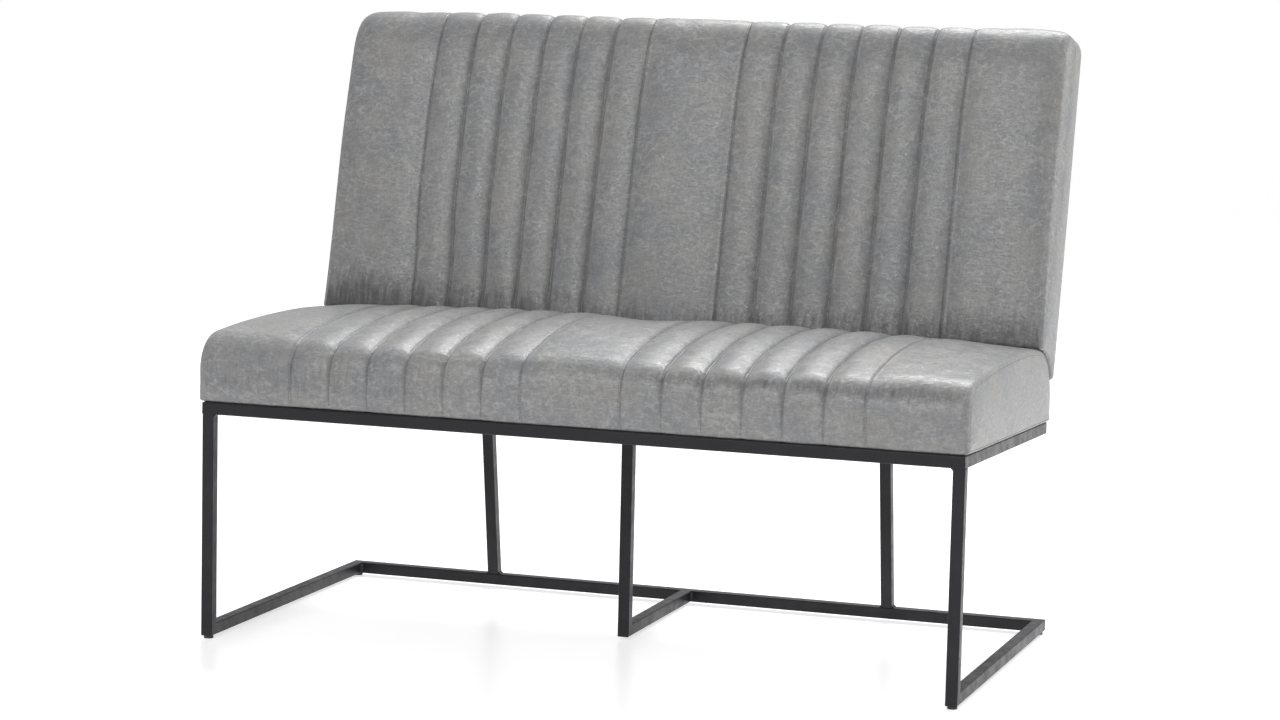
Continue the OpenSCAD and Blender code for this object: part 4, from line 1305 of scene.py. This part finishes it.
def make_leather():
    material, tree, shader, place = new_material(
        "distressed_leather", Coat_Weight=0.1, Coat_Roughness=0.4)
    cloud = use_group(tree, mottle, place, Patch_Size=0.07)
    fine = use_group(tree, mottle, place, Patch_Size=0.011)
    streaks = use_group(tree, fibres, place, Fibre_Size=0.0032)
    veins = use_group(tree, crackle, place, Vein_Size=0.024, Vein_Width=0.06, Amount=0.66)["Veins"]
    creases = use_group(tree, crackle, place, Vein_Size=0.012, Vein_Width=0.13, Amount=1.0)["Veins"]
    grain = use_group(tree, fine_grain, place, Cell_Size=0.0017)["Height"]
    colour = worn_colour(tree, cloud, fine, streaks)
    # Pale veins and creases are real; the groove edges get a painted highlight; the grooves and
    # marked parts get painted shade with some grime.
    for mask, amount, tint in (
            (creases, 0.4, PALE_VEIN_AND_HIGHLIGHT), (veins, 0.46, PALE_VEIN_AND_HIGHLIGHT),
            (painted(tree, "rim_highlight"), 0.4, PALE_VEIN_AND_HIGHLIGHT), (painted(tree, "groove"), 0.54, SHADE_AND_DIRT_GREY),
            (soil_and_shade(tree, place), 0.86, SHADE_AND_DIRT_GREY)):
        colour = mixed(tree, times(tree, mask, amount), colour, tint)
    gloss = sums(tree, "ADD", remap(tree, cloud["Blotches"], 0.0, 1.0, 0.37, 0.48),
                 remap(tree, fine["Blotches"], 0.0, 1.0, 0.09, -0.07))
    gloss = sums(tree, "ADD", gloss, remap(tree, streaks["Level"], 0.0, 1.0, 0.08, -0.07))
    folds = noise(tree, place, 120.0, 3.0, 0.55, 0.8)
    normal = bump(tree, folds, 0.0008, 0.5)
    lines = sums(tree, "ADD", veins, times(tree, creases, 0.5))
    normal = bump(tree, lines, 0.0005, 0.5, normal)
    normal = bump(tree, grain, 0.0003, 0.4, normal)
    join(tree, shader, Base_Color=colour, Roughness=gloss, Normal=normal)
    return material


leather = make_leather()
for skin in (seat_skin, back_skin):
    skin.data.materials.append(leather)
print("leather has", len(leather.node_tree.nodes), "nodes")

# %% [markdown]
# The frame is powder-coated steel, satin black. Its coat has a fine orange peel, faint patches and
# rubbed edges. Thread, zinc, foam and nylon are made in the same way: two close colours in clouds,
# with a grain or an uneven gloss where the real thing has one. Wood and cloth have streaks instead.

# %% Steel and small parts
def make_plain(name, patch_size, colours, mask="Patches", gloss=None, grain=None, bare=None,
               **shader):
    """Two colours in clouds. Gloss is a range of roughness, grain a cell size, depth and strength,
    and bare the colour that shows on rubbed edges."""
    material, tree, inputs, place = new_material(name, **shader)
    clouds = use_group(tree, mottle, place, Patch_Size=patch_size)
    colour = mixed(tree, clouds[mask], *colours)
    if bare:
        wear = use_group(tree, edge_wear, place, Width=0.0016, Amount=0.7)["Wear"]
        colour = mixed(tree, wear, colour, bare)
    join(tree, inputs, Base_Color=colour)
    if gloss:
        join(tree, inputs, Roughness=remap(tree, clouds["Blotches"], 0.0, 1.0, *gloss))
    if grain:
        height = use_group(tree, fine_grain, place, Cell_Size=grain[0])["Height"]
        join(tree, inputs, Normal=bump(tree, height, *grain[1:]))
    return material


def make_streaked(name, colours, stretch, streaks, relief, contrast=None, roughness=0.6):
    """Two colours in streaks, such as the rings of wood and the threads of cloth."""
    material, tree, shader, place = new_material(name, Roughness=roughness)
    height = noise(tree, stretched(tree, place, stretch), *streaks)
    mask = remap(tree, height, *contrast) if contrast else height
    colour, normal = mixed(tree, mask, *colours), bump(tree, height, *relief)
    join(tree, shader, Base_Color=colour, Normal=normal)
    return material


def make_wood(name, colours, ring_size):
    return make_streaked(name, colours, (0.12, 1.0, 1.0), (1 / ring_size, 4.0, 0.55, 1.2),
                         (0.0006, 0.5), (0.35, 0.65))


thread = make_plain(
    "grey_thread", 0.004, ((0.12, 0.12, 0.125, 1), (0.22, 0.22, 0.22, 1)), Roughness=0.6)
finishes = {
    "black_steel": make_plain(
        "black_powder_coat", 0.09, ((0.0105, 0.0095, 0.0130, 1), (0.0150, 0.0138, 0.0178, 1)),
        gloss=(0.34, 0.46), grain=(0.0009, 0.0002, 0.35), bare=(0.09, 0.088, 0.086, 1),
        Roughness=0.4, Specular_IOR_Level=0.36),
    "zinc": make_plain(
        "bright_zinc", 0.008, ((0.52, 0.54, 0.58, 1), (0.62, 0.6, 0.52, 1)), gloss=(0.28, 0.45),
        Metallic=1.0, Roughness=0.35),
    "timber": make_wood(
        "planed_softwood", ((0.62, 0.44, 0.25, 1), (0.5, 0.32, 0.16, 1)), 0.012),
    "plywood": make_wood(
        "birch_plywood", ((0.58, 0.44, 0.27, 1), (0.48, 0.34, 0.19, 1)), 0.02),
    "foam": make_plain(
        "cream_foam", 0.12, ((0.80, 0.74, 0.55, 1), (0.76, 0.66, 0.42, 1)),
        grain=(0.0018, 0.001, 0.8), Roughness=0.9),
    "dust_cloth": make_streaked(
        "dust_cloth", ((0.012, 0.012, 0.013, 1), (0.034, 0.034, 0.036, 1)), (1.0, 2.4, 1.0),
        (700.0, 3.0, 0.7, 1.5), (0.0003, 0.7), roughness=0.85),
    "glide": make_plain(
        "glide_nylon", 0.02, ((0.034, 0.034, 0.036, 1), (0.06, 0.06, 0.062, 1)), "Blotches",
        grain=(0.0007, 0.0002, 0.5), Roughness=0.55),
    "leather": leather,
}
# The first of these words in a node's name gives its finish, and nodes with none are steel.
FINISH_WORDS = (
    ("glides", "glide"), ("dust", "dust_cloth"), ("foam", "foam"), ("cover", "leather"),
    ("nuts", "zinc"), ("bolts", "zinc"), ("board", "plywood"), ("panel", "plywood"),
    ("stile", "timber"), ("top_rail", "timber"), ("bottom_rail", "timber"))
for name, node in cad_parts.items():
    kind = next((kind for word, kind in FINISH_WORDS if word in name), "black_steel")
    node.data.materials.clear()
    node.data.materials.append(finishes[kind])
for block in (seat_foam, back_foam):
    block.data.materials.append(finishes["foam"])
for stitches in (seat_thread, back_thread):
    stitches.data.materials.append(thread)
print("finishes given to", len(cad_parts), "nodes")

# %% [markdown]
# The bench stands in a white studio. The floor is a large plane, shaded only where the bench keeps
# the light away. The camera sees white behind it, and so do reflections in the steel, while the
# light on the bench itself stays at a plain level.

# %% Floor and world
FLOOR_REACH, FLOOR_GLOW = 30.0, 0.62
WORLD_LIGHT, ROOM_LIGHT, REAR_LIGHT = 0.28, 0.35, 0.6


def ray_kinds(tree):
    """Two masks: 1 for the camera's rays, and 1 for mirror rays. Both are 0 for light."""
    path = tree.nodes.new("ShaderNodeLightPath").outputs
    mirror = sums(tree, "MAXIMUM", path["Is Glossy Ray"], path["Is Transmission Ray"])
    return path["Is Camera Ray"], mirror


def make_floor():
    r = FLOOR_REACH
    corners = [(-r, -r, 0), (r, -r, 0), (r, r, 0), (-r, r, 0)]
    floor = mesh_object("studio_floor", corners, [(0, 1, 2, 3)])
    material, tree, shader, _ = new_material(
        "white_floor", Roughness=0.28, Base_Color=(0.8, 0.8, 0.8, 1), Emission_Color=(1, 1, 1, 1))
    seen = sums(tree, "MAXIMUM", *ray_kinds(tree))
    join(tree, shader, Emission_Strength=times(tree, seen, FLOOR_GLOW))
    floor.data.materials.append(material)


def make_world():
    world = bpy.data.worlds.new("white_studio")
    world.use_nodes = True
    tree = world.node_tree
    background = tree.nodes["Background"]
    background.inputs["Color"].default_value = (1, 1, 1, 1)
    way = tree.nodes.new("ShaderNodeTexCoord").outputs["Generated"]
    rearward = add(tree, "ShaderNodeSeparateXYZ", {"Vector": way}).outputs["Y"]
    mirrored = remap(tree, rearward, -0.35, 0.25, ROOM_LIGHT, REAR_LIGHT)
    camera_ray, mirror_ray = ray_kinds(tree)
    lit = add(tree, "ShaderNodeMix", {"Factor": mirror_ray, 2: WORLD_LIGHT, 3: mirrored}).outputs[0]
    strength = add(tree, "ShaderNodeMix", {"Factor": camera_ray, 2: lit, 3: 1.0}).outputs[0]
    join(tree, background.inputs, Strength=strength)
    bpy.context.scene.world = world


def make_lamp(name, place, aim, size, power):
    data = bpy.data.lights.new(name, "AREA")
    data.shape, data.size, data.size_y, data.energy = "RECTANGLE", size[0], size[1], power
    lamp = add_object(data)
    lamp.location = place
    lamp.rotation_euler = (Vector(aim) - Vector(place)).to_track_quat("-Z", "Y").to_euler()


make_floor()
make_world()
make_lamp("rear_overhead_panel", (0.4, 2.6, 4.7), (0.1, -0.2, 0.5), (3.6, 2.2), 230)
make_lamp("rear_right_panel", (3.0, 1.25, 1.6), (0.4, 0, 0.6), (1.6, 2.0), 34)
make_lamp("front_panel", (-0.35, -4.0, 2.8), (0.1, 0, 0.6), (2.8, 1.7), 75)
bpy.context.scene.view_settings.view_transform = "Standard"
